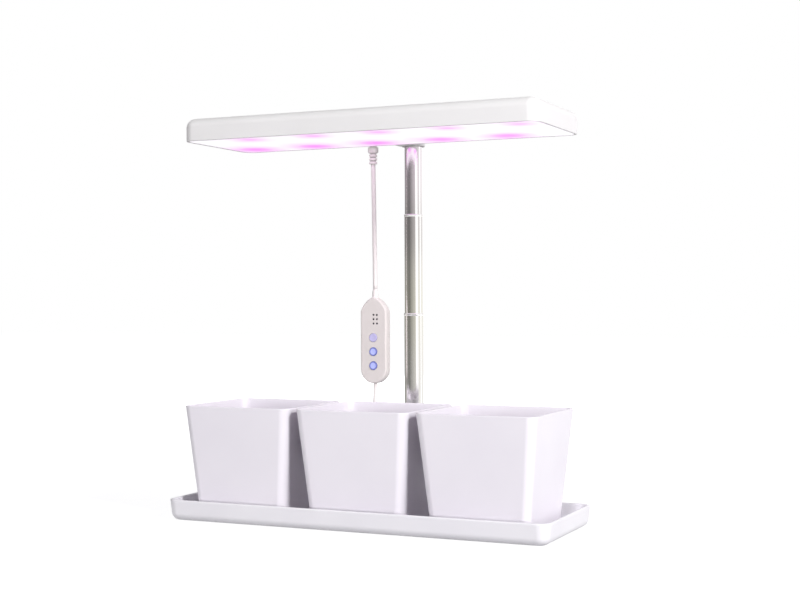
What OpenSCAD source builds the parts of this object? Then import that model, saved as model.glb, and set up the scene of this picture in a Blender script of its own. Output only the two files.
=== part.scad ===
// Countertop garden: three square pots on a drip tray, under an LED grow lamp
// that slides up and down on a telescopic steel pole.
// X runs along the tray, Y runs back to the pole and Z is up. The origin is the
// middle of the tray's underside, on the surface that the garden stands on.

/* [Pots] */
// Distance from one pot's middle to the next
pot_pitch = 120; // [118:1:132]
// Outside width of a pot at its rim
pot_top = 113.6; // [100:0.1:114]
// Outside width of a pot at its foot
pot_base = 92.9; // [78:0.1:96]
// Height of a pot
pot_height = 104.5; // [80:0.1:125]
// Thickness of a pot's wall
pot_wall = 2.2; // [1.6:0.1:3]
// Radius of a pot's upright corners at the rim
pot_corner = 9; // [5:0.5:12]
// Height of a pot's floor above its foot ring
pot_floor_rise = 3; // [2:0.5:5]
// Thickness of a pot's floor
pot_floor = 2.4; // [1.6:0.1:4]
// Width of the foot ring under a pot
foot_ring = 4; // [3:0.5:6]
// Width of the drain notches in the foot ring
notch_w = 16; // [8:1:24]
// Diameter of a pot's drain holes
drain_d = 6; // [4:0.5:8]
// Distance of the outer drain holes from the middle one, along X and Y
drain_reach = 22; // [14:1:28]

/* [Drip tray] */
// Length of the tray at its rim
tray_w = 381.5; // [370:0.1:420]
// Depth of the tray at its rim
tray_d = 129; // [124:0.5:135]
// Height of the tray's rim
tray_h = 19.9; // [14:0.1:26]
// Thickness of the tray's wall
tray_wall = 3; // [2:0.1:3.6]
// Thickness of the tray's floor
tray_floor = 3; // [2.4:0.1:4]
// Radius of the tray's corners in plan
tray_corner = 12; // [12:0.5:24]
// Radius between the tray's wall and its underside
tray_fillet = 8; // [4:0.5:9]
// How far the wall leans outwards over its height
tray_lean = 2.4; // [0:0.1:4]
// Height of the pads that the pots stand on
pad_h = 1; // [0.6:0.1:2]
// Width of those pads
pad_w = 14; // [8:1:20]
// Width of the ribs under the tray
rib_w = 5; // [3:0.5:8]
// Depth of the pockets between those ribs
pocket_h = 1; // [0.6:0.1:1.2]

/* [Pole] */
// Distance of the pole behind the tray's middle
pole_y = 89; // [84:0.5:95]
// Outside diameter of the lower tube
tube_d = 19; // [16:0.1:22]
// Wall of the steel tubes
tube_wall = 0.4; // [0.3:0.05:0.6]
// Gap all round between one tube and the next
slide_gap = 0.05; // [0.02:0.01:0.09]
// Height of the lower tube's rolled lip
lower_top = 195; // [170:1:240]
// Height of the middle tube's rolled lip
middle_top = 293; // [270:1:330]
// Length of the middle tube
middle_len = 180; // [150:1:200]
// Length of the upper tube that is inside the middle one
upper_overlap = 110; // [60:1:115]
// Height of the lip rolled at a tube's mouth
lip_h = 2.2; // [1:0.1:4]
// How far the rolled lip stands out of the tube
lip_out = 0.35; // [0.2:0.05:0.6]
// How far the middle tube can drop
middle_drop = 52; // [30:1:60]
// How far the upper tube can drop
upper_drop = 38; // [20:1:42]
// Height of the boss that holds the pole
boss_h = 46; // [30:1:60]
// Wall of the boss at its top
boss_wall = 4; // [3:0.5:6]
// How much wider the boss is at its foot, all round
boss_flare = 3.4; // [0:0.2:5]
// Height of the pole's foot above the surface
pole_foot = 7; // [6:0.5:10]
// Gap between the pole and its sockets, all round
socket_gap = 0.1; // [0.05:0.05:0.2]
// Thread diameter of the screw under the pole
screw_d = 5; // [4:0.5:6]
// Head diameter of that screw
screw_head_d = 10; // [8:0.5:12]

/* [Lamp] */
// Length of the lamp
lamp_w = 357; // [300:1:420]
// Depth of the lamp
lamp_d = 120; // [110:0.5:140]
// Distance of the lamp's middle behind the tray's middle
lamp_y = 7.9; // [6:0.1:9]
// Height of the lamp's underside
lamp_z = 360.1; // [350:0.1:380]
// Height of the lamp's casing
lamp_h = 22; // [20:0.1:28]
// Wall of the casing
lamp_wall = 2.2; // [1.6:0.1:3]
// Radius of the casing's corners in plan
lamp_corner = 11; // [10:0.5:16]
// Radius of the casing's upper edge
lamp_fillet = 9; // [5:0.5:9.5]
// How far the diffuser sits inside the casing's rim
diffuser_inset = 0.5; // [0.2:0.1:1.5]
// Thickness of the diffuser
diffuser_t = 2; // [1.5:0.1:3]
// Gap round the diffuser
diffuser_gap = 0.2; // [0.1:0.05:0.4]
// Width of the ledge that the diffuser is pushed up against
ledge_w = 1.6; // [1:0.1:2.4]
// Thickness of the LED board
board_t = 1.6; // [1:0.1:2]
// Gap between the LED board and the casing's wall
board_gap = 8; // [6:0.5:12]
// Length of the bosses that the LED board is screwed to
boss_drop = 6; // [4:0.5:8]
// Distance of the LED board's screws from its long edges
screw_edge = 7; // [5:0.5:10]
// Thread diameter of those screws
screw_m = 3; // [2.5:0.5:4]
// Wall of the socket that the pole goes up into
socket_wall = 3; // [3:0.2:5]
// Depth of that socket
socket_depth = 13; // [8:0.5:16]
// Number of white LEDs along a row
white_count = 14; // [8:1:20]
// Distance between the grow LEDs in a row
grow_pitch = 67.5; // [55:0.5:70]
// How far the front row of grow LEDs is shifted to +X, and the back row to -X
grow_shift = 19.5; // [8:0.5:24]
// Distance of the rows of grow LEDs from the lamp's middle
grow_row = 43; // [30:0.5:46]

/* [Controller and cord] */
// X of the strain relief under the lamp
relief_x = -38.4; // [-60:0.1:-35]
// X of the middle of the controller
control_x = -36.7; // [-60:0.1:-34]
// Distance of the controller and its cord behind the tray's middle
control_y = 77; // [76:0.5:85]
// Height of the controller's lower end
control_z = 125.5; // [120:0.1:130]
// Length of the controller
control_len = 85.4; // [80:0.1:100]
// Width of the controller
control_w = 28.2; // [24:0.1:34]
// Thickness of the controller
control_t = 10.4; // [9:0.1:14]
// Wall of the controller's shells
control_wall = 1.4; // [1:0.1:1.8]
// Radius of the curve from the controller's side to its upper tip
ogive_r = 24; // [22:0.5:26]
// Diameter of the buttons
button_d = 8.4; // [6:0.1:9]
// Distance from one button to the next
button_pitch = 13.9; // [12:0.1:16]
// Height of the lowest button above the controller's lower end
button_low = 17.6; // [16:0.1:20]
// How far a button stands out of the controller
button_out = 0.5; // [0.3:0.1:1]
// How far a button is pushed in
button_travel = 0.6; // [0.3:0.1:0.8]
// Gap round a button
button_gap = 0.2; // [0.1:0.05:0.3]
// Diameter of the indicator lights
light_d = 2; // [1.5:0.1:2.4]
// Distance between the two columns of indicator lights
light_dx = 3.7; // [3:0.1:5]
// Distance between the rows of indicator lights
light_dz = 4.3; // [3:0.1:5]
// Height of the lowest indicator light above the controller's lower end
light_low = 59.4; // [56:0.1:66]
// Diameter of the lamp's cord
cord_d = 4.4; // [3.6:0.1:5]
// Diameter of the supply lead
lead_d = 3.5; // [3:0.1:4]
// Diameter of the strain relief's collar
collar_d = 10.4; // [9:0.1:12]
// Length of the strain relief below the lamp
relief_len = 16.6; // [12:0.1:20]
// Diameter across the middle of the coiled lead
coil_d = 40; // [36:1:44]
// Turns of the coil side by side
coil_across = 5; // [3:1:6]
// Turns of the coil on top of each other
coil_up = 2; // [2:1:4]
// Thickness of the tie round the coil
tie_t = 0.6; // [0.5:0.1:1]

/* [Hidden] */

seam = 0.01;                  // overlap that joins two shapes of one solid
fine = 64;                    // facets of a round thing

// Pots
pot_z = tray_floor + pad_h;
pot_rim_z = pot_z + pot_height;
pot_foot_corner = pot_corner - 1.5;
pot_slope = (pot_top - pot_base) / 2 / pot_height;
notch_h = pot_floor_rise / 2;

// Tray
tray_tilt = atan(tray_lean / tray_h);
rim_r = tray_wall / 2;        // the rim is rounded over its whole width
flat_w = tray_w - 2 * (tray_fillet + tray_lean);
flat_d = tray_d - 2 * (tray_fillet + tray_lean);
web_t = 3;                    // webs between the wall and the boss
lug_h = 8;                    // lug that carries the boss

// Pole, from the outer tube to the inner one
middle_d = tube_d - 2 * (tube_wall + slide_gap);
upper_d = middle_d - 2 * (tube_wall + slide_gap);
socket_top = lamp_z + socket_depth;
middle_foot = middle_top - middle_len;
upper_foot = middle_top - upper_overlap;
upper_len = socket_top - upper_foot;
glide_flange = 4;
stop_gap = 1;                 // what is left under a tube that has dropped all the way
plug_top = middle_foot - glide_flange - middle_drop - stop_gap;
glide_top = upper_foot - glide_flange - upper_drop - stop_gap;
boss_r = tube_d / 2 + socket_gap + boss_wall;
screw_head_z = 0.2;
screw_head_h = 3;
screw_reach = 14;             // how far the screw goes up into the plug
upper_glide_len = 20;

// Lamp
lamp_top = lamp_z + lamp_h;
lamp_back = lamp_y + lamp_d / 2;
diffuser_z = lamp_z + diffuser_inset;
ledge_z = diffuser_z + diffuser_t;
ledge_h = 3;
board_top = lamp_top - lamp_wall - boss_drop;
board_w = lamp_w - 2 * (lamp_wall + board_gap);
board_d = lamp_d - 2 * (lamp_wall + board_gap);
led_w = 3.5;
led_h = 0.8;
grow_w = 5;
grow_h = 1.6;
white_row = 24;
white_margin = 12;            // from the board's ends to where the white LEDs start
socket_r = upper_d / 2 + socket_gap + socket_wall;
socket_roof = 2.6;            // over the pole's end
socket_h = socket_depth + socket_roof;
relief_boss_r = collar_d / 2 + 2.4;
relief_boss_h = 11;
relief_stem = 8;
relief_neck = collar_d / 2 - 1.5;
set_screw_d = 4;
set_screw_key = 2;            // across the set screw's hexagon hole
board_post_d = screw_m + 5;
board_head_d = screw_m * 1.9;
board_head_h = 1.6;

// Controller
control_r = control_w / 2;
shoulder_drop = 13.9;         // the tip above the straight sides
shoulder_z = control_z + control_len - shoulder_drop;
ogive_x = 8.6;                // how far each curve's middle is past the middle line
ogive_drop = sqrt(pow(ogive_r, 2) - pow(control_r + ogive_x, 2));
front_y = control_y - control_t / 2;
back_y = control_y + control_t / 2;
edge_round = 1.6;
flange_t = 1;
flange_w = 0.9;
button_zs = [for (i = [0:2]) control_z + button_low + i * button_pitch];
inner_y = front_y + control_wall;
cap_back = inner_y + flange_t;
switch_h = 1.6;
switch_gap = button_travel + 0.1;
board_y = cap_back + switch_gap + switch_h;
control_board_t = 1;
control_tip = control_z + control_len;
gland_r = cord_d / 2 + 0.8;
gland_body = 8;
gland_top = control_tip + 8;
gland_foot = control_tip - gland_body / 2;
post_d = 5;
post_screw_d = 2;
post_head_d = 4.2;
post_zs = [control_z + 8, shoulder_z - 3];
light_x = control_x + 0.3;
switch_w = 6;
plunger_d = 3;

// Cord: the points that it passes through, chosen by hand
cord_top = lamp_z - relief_len;
upper_route = [
    [relief_x, control_y, cord_top], [relief_x + 0.4, control_y, 320],
    [relief_x + 0.8, control_y, 295], [relief_x + 1.1, control_y, 270],
    [control_x - 0.2, control_y, 245], [control_x, control_y, gland_top]
];
drop_route = [
    [control_x, control_y, control_z], [control_x - 0.3, control_y, 116],
    [-37.6, 77, 106], [-38, 77, 96], [-38, 77, 86], [-38, 77, 75], [-38, 77, 64],
    [-38, 77, 53], [-38, 77, 42], [-38, 77, 31], [-38, 77, 22]
];
run_route = [
    [-38, 77, 22], [-38, 77, 19], [-39.3, 77, 12.6], [-42.9, 76.7, 7.3],
    [-48.2, 76.1, 3.8], [-54.6, 75.2, 2.4], [-64, 73.9, 2.4], [-74, 73.1, 2.4], [-84, 73, 2.4]
];
tail_route = [
    [-84, 73, 5.9], [-94, 73.1, 5.6], [-103, 73.9, 4.8], [-111, 75.1, 4.2], [-118, 76, 4]
];
coil_x = -84;
coil_y = 100;
coil_w = coil_across * lead_d;
coil_h = coil_up * lead_d;
tie_angle = 24;
plug_x = -118;
plug_y = 76;
plug_w = 14.5;
plug_h = 8;
plug_z = plug_h / 2;
plug_neck = 9;
plug_len = 28;
shell_len = 18.7;
shell_w = 12;
shell_h = 4.5;
shell_t = 0.35;

// ---------- shared shapes ----------

// A flat rectangle with round corners, about its middle
module rounded(w, d, r, facets = fine) {
    square([w - 2 * r, d], center = true);
    square([w, d - 2 * r], center = true);
    for (x = [-1, 1], y = [-1, 1])
        translate([x * (w / 2 - r), y * (d / 2 - r)]) circle(r = r, $fn = facets);
}

// Sweeps a section round a rounded rectangle. The section's X runs out from the
// middle of the corner, and its Y is up.
module swept(w, d, r) {
    for (i = [0:3])
        translate([(i == 0 || i == 3 ? 1 : -1) * (w / 2 - r), (i < 2 ? 1 : -1) * (d / 2 - r), 0])
            rotate([0, 0, 90 * i]) rotate_extrude(angle = 90, $fn = fine) children();
    for (turn = [0, 180]) rotate([0, 0, turn]) {
        translate([w / 2 - r, d / 2 - r, 0]) rotate([90, 0, 0])
            linear_extrude(d - 2 * r) children();
        translate([r - w / 2, d / 2 - r, 0]) rotate([90, 0, 90])
            linear_extrude(w - 2 * r) children();
    }
}

// The block inside a swept section, from z = 0 up to h
module swept_middle(w, d, r, h) {
    translate([r - w / 2, r - d / 2, 0]) cube([w - 2 * r, d - 2 * r, h]);
}

// Turns a flat shape so that its X stays and its Y becomes Z, then gives it a
// thickness that runs back from y = 0
module upright(t) {
    translate([0, t, 0]) rotate([90, 0, 0]) linear_extrude(t) children();
}

// A closed tube along a route, with 8 sides
module tube_along(route, d) {
    sides = 8;
    last = len(route) - 1;
    rings = [for (i = [0:last])
        let(
            along = route[min(i + 1, last)] - route[max(i - 1, 0)],
            t = i == 0 || i == last ? end_direction(route, i) : along / norm(along),
            u = side_of(t),
            v = cross(t, u)
        )
        for (k = [0:sides - 1])
            route[i] + d / 2 * (cos(360 * k / sides) * u + sin(360 * k / sides) * v)
    ];
    sideways = [for (i = [0:last - 1], k = [0:sides - 1])
        let(a = i * sides + k, b = i * sides + (k + 1) % sides)
        each [[a, a + sides, b + sides], [a, b + sides, b]]];
    ends = [[for (k = [0:sides - 1]) k], [for (k = [sides - 1:-1:0]) last * sides + k]];
    polyhedron(points = rings, faces = concat(sideways, ends), convexity = 4);
}

// A route's ends run along an axis, so that two tubes meet face to face
function end_direction(route, i) =
    let(last = len(route) - 1,
        t = i == 0 ? route[1] - route[0] : route[last] - route[last - 1],
        ax = [for (x = t) abs(x) == max([for (y = t) abs(y)]) ? sign(x) : 0])
    ax / norm(ax);

// No route runs along this line, so each ring is turned the same way as the last
function side_of(t) = let(s = cross(t, [1, 1, 0])) s / norm(s);

// ---------- pots ----------

// A block that widens upwards, with round corners, between two heights
module tapered(low_w, low_r, low_z, high_w, high_r, high_z) {
    hull() {
        translate([0, 0, low_z]) linear_extrude(seam) rounded(low_w, low_w, low_r, 48);
        translate([0, 0, high_z - seam]) linear_extrude(seam) rounded(high_w, high_w, high_r, 48);
    }
}

function pot_width(h) = pot_base + 2 * pot_slope * h;

module pot() {
    floor_top = pot_floor_rise + pot_floor;
    difference() {
        tapered(pot_base, pot_foot_corner, 0, pot_top, pot_corner, pot_height);
        tapered(pot_width(floor_top) - 2 * pot_wall, pot_foot_corner - 1, floor_top,
            pot_width(pot_height + 1) - 2 * pot_wall, pot_corner - 1, pot_height + 1);
        translate([0, 0, -seam]) linear_extrude(pot_floor_rise + seam)
            rounded(pot_base - 2 * foot_ring, pot_base - 2 * foot_ring, pot_foot_corner - 2);
        for (turn = [0, 90]) rotate([0, 0, turn])
            translate([-notch_w / 2, -pot_top / 2, -seam]) cube([notch_w, pot_top, notch_h + seam]);
        for (p = [[0, 0], [1, 1], [1, -1], [-1, 1], [-1, -1]])
            translate([p.x * drain_reach, p.y * drain_reach, 0])
                cylinder(d = drain_d, h = floor_top + 1, $fn = fine);
    }
}

module pot_left() color("#e8e6ee") translate([-pot_pitch, 0, pot_z]) pot();

module pot_middle() color("#e8e6ee") translate([0, 0, pot_z]) pot();

module pot_right() color("#e8e6ee") translate([pot_pitch, 0, pot_z]) pot();

// ---------- drip tray ----------

// Half of a basin's outline, from the corner's middle out to a leaning wall that
// meets the underside in a fillet
module basin_section(r, h, fillet, tilt) {
    fx = r - (h - fillet) * tan(tilt) - fillet / cos(tilt);
    polygon([[0, 0], [fx, 0], [fx + fillet * cos(tilt), fillet - fillet * sin(tilt)], [r, h], [0, h]]);
    intersection() {
        translate([fx, fillet]) circle(r = fillet, $fn = fine);
        translate([fx, 0]) square([fillet, fillet]);
    }
}

module tray_section() {
    difference() {
        union() {
            basin_section(tray_corner, tray_h - rim_r, tray_fillet, tray_tilt);
            translate([tray_corner - rim_r, tray_h - rim_r]) circle(r = rim_r, $fn = fine);
        }
        translate([0, tray_floor])
            basin_section(tray_corner - tray_wall, tray_h - rim_r - tray_floor,
                tray_fillet - tray_floor + seam, tray_tilt);
    }
}

// The boss that the pole stands in, and what ties it to the tray
module pole_boss() {
    translate([0, pole_y, 0])
        cylinder(r1 = boss_r + boss_flare, r2 = boss_r, h = boss_h, $fn = fine);
    foot_r = boss_r + boss_flare;
    translate([-foot_r, flat_d / 2 - 1, 0]) cube([2 * foot_r, pole_y - flat_d / 2 + 1, tray_floor]);
    wall_y = tray_d / 2 - tray_wall;
    translate([-foot_r, wall_y, 0]) cube([2 * foot_r, pole_y - wall_y, lug_h]);
    for (x = [-1, 1])
        translate([x * boss_r * 0.7 - web_t / 2, 0, 0]) rotate([90, 0, 90]) linear_extrude(web_t)
            polygon([[wall_y, 0], [pole_y, 0], [pole_y, boss_h * 0.8],
                [pole_y - boss_r * 0.7, boss_h * 0.8], [wall_y, tray_h - rim_r]]);
}

module tray() color("#e6e4ec") {
    difference() {
        union() {
            swept(tray_w, tray_d, tray_corner) tray_section();
            swept_middle(tray_w, tray_d, tray_corner, tray_floor);
            pole_boss();
            for (i = [-1:1], x = [-1, 1], y = [-1, 1])
                translate([i * pot_pitch + x * (pot_base - pad_w) / 2 - pad_w / 2,
                    y * (pot_base - pad_w) / 2 - pad_w / 2, tray_floor - seam])
                    cube([pad_w, pad_w, pad_h + seam]);
        }
        translate([0, pole_y, pole_foot])
            cylinder(r = tube_d / 2 + socket_gap, h = boss_h, $fn = fine);
        translate([0, pole_y, -seam]) cylinder(d = screw_d + 0.5, h = pole_foot + 1, $fn = fine);
        translate([0, pole_y, -seam]) cylinder(d = screw_head_d + 0.6, h = screw_head_z + screw_head_h + seam, $fn = fine);
        pockets();
    }
}

// Shallow pockets under the tray, with ribs left between them
module pockets() {
    columns = 6;
    cell_w = (flat_w - rib_w) / columns - rib_w;
    cell_d = (flat_d - rib_w) / 2 - rib_w;
    for (i = [0:columns - 1], y = [-1, 1])
        translate([(i - (columns - 1) / 2) * (cell_w + rib_w) - cell_w / 2,
            y * (cell_d + rib_w) / 2 - cell_d / 2, -seam])
            cube([cell_w, cell_d, pocket_h + seam]);
}

// ---------- pole ----------

// A steel tube. Its mouth is rolled outwards by lip.
module tube(d, foot, top, lip) {
    r = d / 2;
    translate([0, pole_y, 0]) rotate_extrude($fn = fine) {
        translate([r - tube_wall, foot]) square([tube_wall, top - foot]);
        if (lip > 0)
            polygon([[r - seam, top - lip_h], [r, top - lip_h], [r + lip, top - lip_h * 0.7],
                [r + lip, top - lip_h * 0.25], [r, top], [r - seam, top]]);
    }
}

module lower_tube() color("#b9b6b6") tube(tube_d, pole_foot, lower_top, lip_out);

module middle_tube() color("#b9b6b6") tube(middle_d, middle_foot, middle_top, lip_out);

module upper_tube() color("#b9b6b6") tube(upper_d, upper_foot, socket_top, 0);

// A plastic plug in a tube's lower end, with a flange that slides in the tube outside
module glide(d, foot, top) {
    translate([0, pole_y, foot - glide_flange]) {
        cylinder(d = d, h = glide_flange, $fn = fine);
        cylinder(d = d - 2 * tube_wall, h = top - foot + glide_flange, $fn = fine);
    }
}

module middle_glide() color("#3a3a3e") glide(middle_d, middle_foot, glide_top);

module upper_glide() color("#3a3a3e") glide(upper_d, upper_foot, upper_foot + upper_glide_len);

module pole_plug() color("#3a3a3e") difference() {
    translate([0, pole_y, pole_foot])
        cylinder(d = tube_d - 2 * tube_wall, h = plug_top - pole_foot, $fn = fine);
    translate([0, pole_y, pole_foot - 1]) cylinder(d = screw_d, h = screw_reach + 3, $fn = fine);
}

module foot_screw() color("#8c8c90") difference() {
    translate([0, pole_y, screw_head_z]) {
        cylinder(d = screw_head_d, h = screw_head_h, $fn = fine);
        cylinder(d = screw_d, h = pole_foot + screw_reach, $fn = fine);
    }
    for (turn = [0, 90]) translate([0, pole_y, 0]) rotate([0, 0, turn])
        translate([-2.6, -0.5, 0]) cube([5.2, 1, 1.8]);
}

// ---------- lamp ----------

// Half of the casing's outline, from the corner's middle out, with a round upper edge
module casing_section(r, h, fillet) {
    square([r, h - fillet]);
    square([r - fillet, h]);
    intersection() {
        translate([r - fillet, h - fillet]) circle(r = fillet, $fn = fine);
        translate([r - fillet, h - fillet]) square([fillet, fillet]);
    }
}

module casing_block(inset, z, h) {
    r = lamp_corner - inset;
    w = lamp_w - 2 * inset;
    d = lamp_d - 2 * inset;
    translate([0, lamp_y, z]) {
        swept(w, d, r) casing_section(r, h, lamp_fillet - inset);
        swept_middle(w, d, r, h);
    }
}

// Round posts, holes or screws at the LED board's six screws, which stand between
// the grow LEDs
module at_board_screws(d, from_z, to_z) {
    for (x = [-1:1], y = [-1, 1])
        translate([x * 2 * grow_pitch, lamp_y + y * (board_d / 2 - screw_edge), from_z])
            cylinder(d = d, h = to_z - from_z, $fn = fine);
}

module lamp_casing() color("#eceaf0") {
    cavity_h = lamp_h - lamp_wall;
    difference() {
        union() {
            casing_block(0, lamp_z, lamp_h);
            // the socket for the pole, and the boss for the strain relief
            translate([0, pole_y, lamp_z]) cylinder(r = socket_r, h = socket_h, $fn = fine);
            translate([-socket_r, lamp_back - lamp_wall, lamp_z])
                cube([2 * socket_r, pole_y - lamp_back + lamp_wall, socket_h]);
            translate([relief_x, control_y, lamp_z])
                cylinder(r = relief_boss_r, h = relief_boss_h, $fn = fine);
            translate([relief_x - relief_boss_r, lamp_back - lamp_wall, lamp_z])
                cube([2 * relief_boss_r, control_y - lamp_back + lamp_wall, relief_boss_h]);
        }
        difference() {
            translate([0, 0, -seam]) casing_block(lamp_wall, lamp_z, cavity_h + seam);
            at_board_screws(board_post_d, board_top, lamp_top);
            // the ledge that the diffuser stops against
            translate([0, lamp_y, ledge_z]) linear_extrude(ledge_h) difference() {
                square([lamp_w, lamp_d], center = true);
                rounded(lamp_w - 2 * (lamp_wall + ledge_w), lamp_d - 2 * (lamp_wall + ledge_w),
                    lamp_corner - lamp_wall - ledge_w);
            }
        }
        translate([0, pole_y, lamp_z - 1])
            cylinder(r = upper_d / 2 + socket_gap, h = socket_depth + 1, $fn = fine);
        translate([0, pole_y, lamp_z + socket_depth / 2]) rotate([-90, 0, 0])
            cylinder(d = set_screw_d, h = socket_r + 2, $fn = fine);
        translate([relief_x, control_y, lamp_z - 1])
            cylinder(r = relief_neck, h = relief_stem + 1, $fn = fine);
        at_board_screws(screw_m, board_top - 1, board_top + boss_drop);
    }
}

module lamp_diffuser() color("#fbf4fb") {
    gap = lamp_wall + diffuser_gap;
    translate([0, lamp_y, diffuser_z]) linear_extrude(diffuser_t)
        rounded(lamp_w - 2 * gap, lamp_d - 2 * gap, lamp_corner - gap);
}

module led_board() color("#f2f2ee") difference() {
    translate([0, lamp_y, board_top - board_t]) linear_extrude(board_t) rounded(board_w, board_d, 4);
    at_board_screws(screw_m + 0.4, board_top - board_t - 1, board_top + 1);
}

module board_screws() color("#9a9a9e") {
    under = board_top - board_t;
    at_board_screws(board_head_d, under - board_head_h, under);
    at_board_screws(screw_m, under - 1, board_top + boss_drop - 0.5);
}

module white_leds() color("#f4efcf") {
    pitch = (board_w - 2 * white_margin) / white_count;
    for (i = [0:white_count - 1], y = [-white_row, 0, white_row])
        translate([(i - (white_count - 1) / 2) * pitch - led_w / 2, lamp_y + y - led_w / 2,
            board_top - board_t - led_h]) cube([led_w, led_w, led_h]);
}

module grow_leds() color("#e05ad8") {
    for (i = [-2:2], side = [-1, 1])
        translate([i * grow_pitch - side * grow_shift - grow_w / 2,
            lamp_y + side * grow_row - grow_w / 2, board_top - board_t - grow_h])
            cube([grow_w, grow_w, grow_h]);
}

module socket_screw() color("#8c8c90") difference() {
    screw_y = pole_y + upper_d / 2;
    translate([0, screw_y, lamp_z + socket_depth / 2]) rotate([-90, 0, 0])
        cylinder(d = set_screw_d, h = socket_wall - 0.4, $fn = fine);
    translate([0, screw_y + socket_wall - 1.6, lamp_z + socket_depth / 2]) rotate([-90, 0, 0])
        cylinder(d = set_screw_key, h = 2, $fn = 6);
}

// ---------- cord, strain relief and controller ----------

module strain_relief() color("#eeebef") {
    ring_r = relief_neck + 0.3;
    groove_r = cord_d / 2 + 0.5;
    collar_h = 6;
    rings = 3;
    pitch = (relief_len - collar_h) / rings;
    translate([relief_x, control_y, lamp_z]) rotate_extrude($fn = fine)
        polygon(concat(
            [[0, -relief_len], [0, relief_stem], [relief_neck, relief_stem], [relief_neck, 0],
                [collar_d / 2, 0], [collar_d / 2, 1.4 - collar_h], [relief_neck, -collar_h]],
            [for (i = [0:rings - 1]) each [
                [groove_r, -collar_h - i * pitch], [groove_r, -collar_h - (i + 0.5) * pitch],
                [ring_r, -collar_h - (i + 0.5) * pitch], [ring_r, -collar_h - (i + 1) * pitch]]]
        ));
}

// The controller's outline: straight sides, a round lower end and a pointed upper
// one. X and Z, with grow added all round.
module control_outline(grow, facets = fine) {
    r = control_r + grow;
    translate([control_x, control_z + control_r]) circle(r = r, $fn = facets);
    translate([control_x - r, control_z + control_r])
        square([2 * r, shoulder_z - control_z - control_r]);
    intersection() {
        translate([control_x - ogive_x, shoulder_z - ogive_drop]) circle(r = ogive_r + grow, $fn = facets);
        translate([control_x + ogive_x, shoulder_z - ogive_drop]) circle(r = ogive_r + grow, $fn = facets);
        translate([control_x - r, shoulder_z - 1]) square([2 * r, shoulder_drop + r]);
    }
}

// Half of the controller's outside, from its face to its middle, with a round edge
module control_half() {
    steps = 3;
    hull() for (i = [0:steps]) {
        a = 90 * i / steps;
        translate([0, edge_round * (1 - sin(a)), 0]) upright(seam)
            control_outline(-edge_round * (1 - cos(a)), 40);
    }
    translate([0, edge_round, 0]) upright(control_t / 2 - edge_round) control_outline(0);
}

module control_cavity() {
    upright(control_t - 2 * control_wall) control_outline(-control_wall);
}

module gland_hole(gap) {
    translate([control_x, control_y, gland_foot - gap])
        cylinder(r = gland_r + gap, h = gland_body + gap, $fn = fine);
}

module controller_front() color("#e7e2e4") difference() {
    translate([0, front_y, 0]) control_half();
    translate([0, inner_y, 0]) control_cavity();
    gland_hole(0);
    for (z = button_zs) translate([control_x, front_y - 1, z]) rotate([-90, 0, 0])
        cylinder(r = button_d / 2 + button_gap, h = control_wall + 2, $fn = fine);
    for (i = [0:2], x = [0, 1])
        translate([light_x + x * light_dx, front_y - 1, control_z + light_low + i * light_dz])
            rotate([-90, 0, 0]) cylinder(d = light_d, h = control_wall + 2, $fn = fine);
}

module controller_back() color("#e7e2e4") difference() {
    union() {
        difference() {
            translate([0, back_y, 0]) mirror([0, 1, 0]) control_half();
            translate([0, inner_y, 0]) control_cavity();
        }
        control_posts(post_d, board_y + control_board_t, back_y - 1);
    }
    gland_hole(0);
    control_posts(post_screw_d, board_y, back_y + 1);
    control_posts(post_head_d, back_y - 1, back_y + 1);
}

// Round posts along Y at the two screws
module control_posts(d, from_y, to_y) {
    for (z = post_zs)
        translate([control_x, from_y, z]) rotate([-90, 0, 0])
            cylinder(d = d, h = to_y - from_y, $fn = fine);
}

module controller_screws() color("#8c8c90") {
    control_posts(post_screw_d, board_y, back_y - 0.5);
    control_posts(post_head_d, back_y - 1, back_y - 0.3);
}

module controller_board() color("#2f6b46") difference() {
    translate([0, board_y, 0]) upright(control_board_t) control_outline(-control_wall - 0.6);
    translate([control_x - control_w, 0, shoulder_z])
        cube([2 * control_w, 2 * control_y, control_len]);
    control_posts(post_screw_d, board_y - 1, back_y);
}

module tact_switches() color("#4a4a4e") {
    for (z = button_zs) {
        translate([control_x - switch_w / 2, board_y - switch_h * 0.6, z - switch_w / 2])
            cube([switch_w, switch_h * 0.6, switch_w]);
        translate([control_x, board_y - switch_h, z]) rotate([-90, 0, 0])
            cylinder(d = plunger_d, h = switch_h, $fn = fine);
    }
}

module indicator_lights() color("#3c3c44") {
    for (i = [0:2], x = [0, 1])
        translate([light_x + x * light_dx, front_y + 0.2, control_z + light_low + i * light_dz])
            rotate([-90, 0, 0]) cylinder(d = light_d - 0.1, h = board_y - front_y - 0.2, $fn = fine);
}

// A round button with a flange behind the controller's face
module button(z) {
    translate([control_x, front_y - button_out, z]) rotate([-90, 0, 0]) {
        cylinder(d1 = button_d - 0.8, d2 = button_d, h = 0.4, $fn = fine);
        translate([0, 0, 0.4])
            cylinder(d = button_d, h = button_out + control_wall - 0.4, $fn = fine);
        translate([0, 0, button_out + control_wall])
            cylinder(d = button_d + 2 * flange_w, h = flange_t, $fn = fine);
    }
}

module button_upper() color("#c3bbe4") button(button_zs[2]);

module button_middle() color("#9aa2e6") button(button_zs[1]);

module button_lower() color("#8794ec") button(button_zs[0]);

module controller_gland() color("#efedee") {
    translate([control_x, control_y, 0]) rotate_extrude($fn = fine)
        polygon([[0, gland_foot], [gland_r, gland_foot], [gland_r, gland_foot + gland_body],
            [cord_d / 2 + 0.3, gland_top], [0, gland_top]]);
}

module upper_cord() color("#ebe8ea") tube_along(upper_route, cord_d);

module lead_drop() color("#ebe8ea") tube_along(drop_route, lead_d);

module lead_run() color("#ebe8ea") tube_along(run_route, lead_d);

module lead_tail() color("#ebe8ea") tube_along(tail_route, lead_d);

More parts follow.
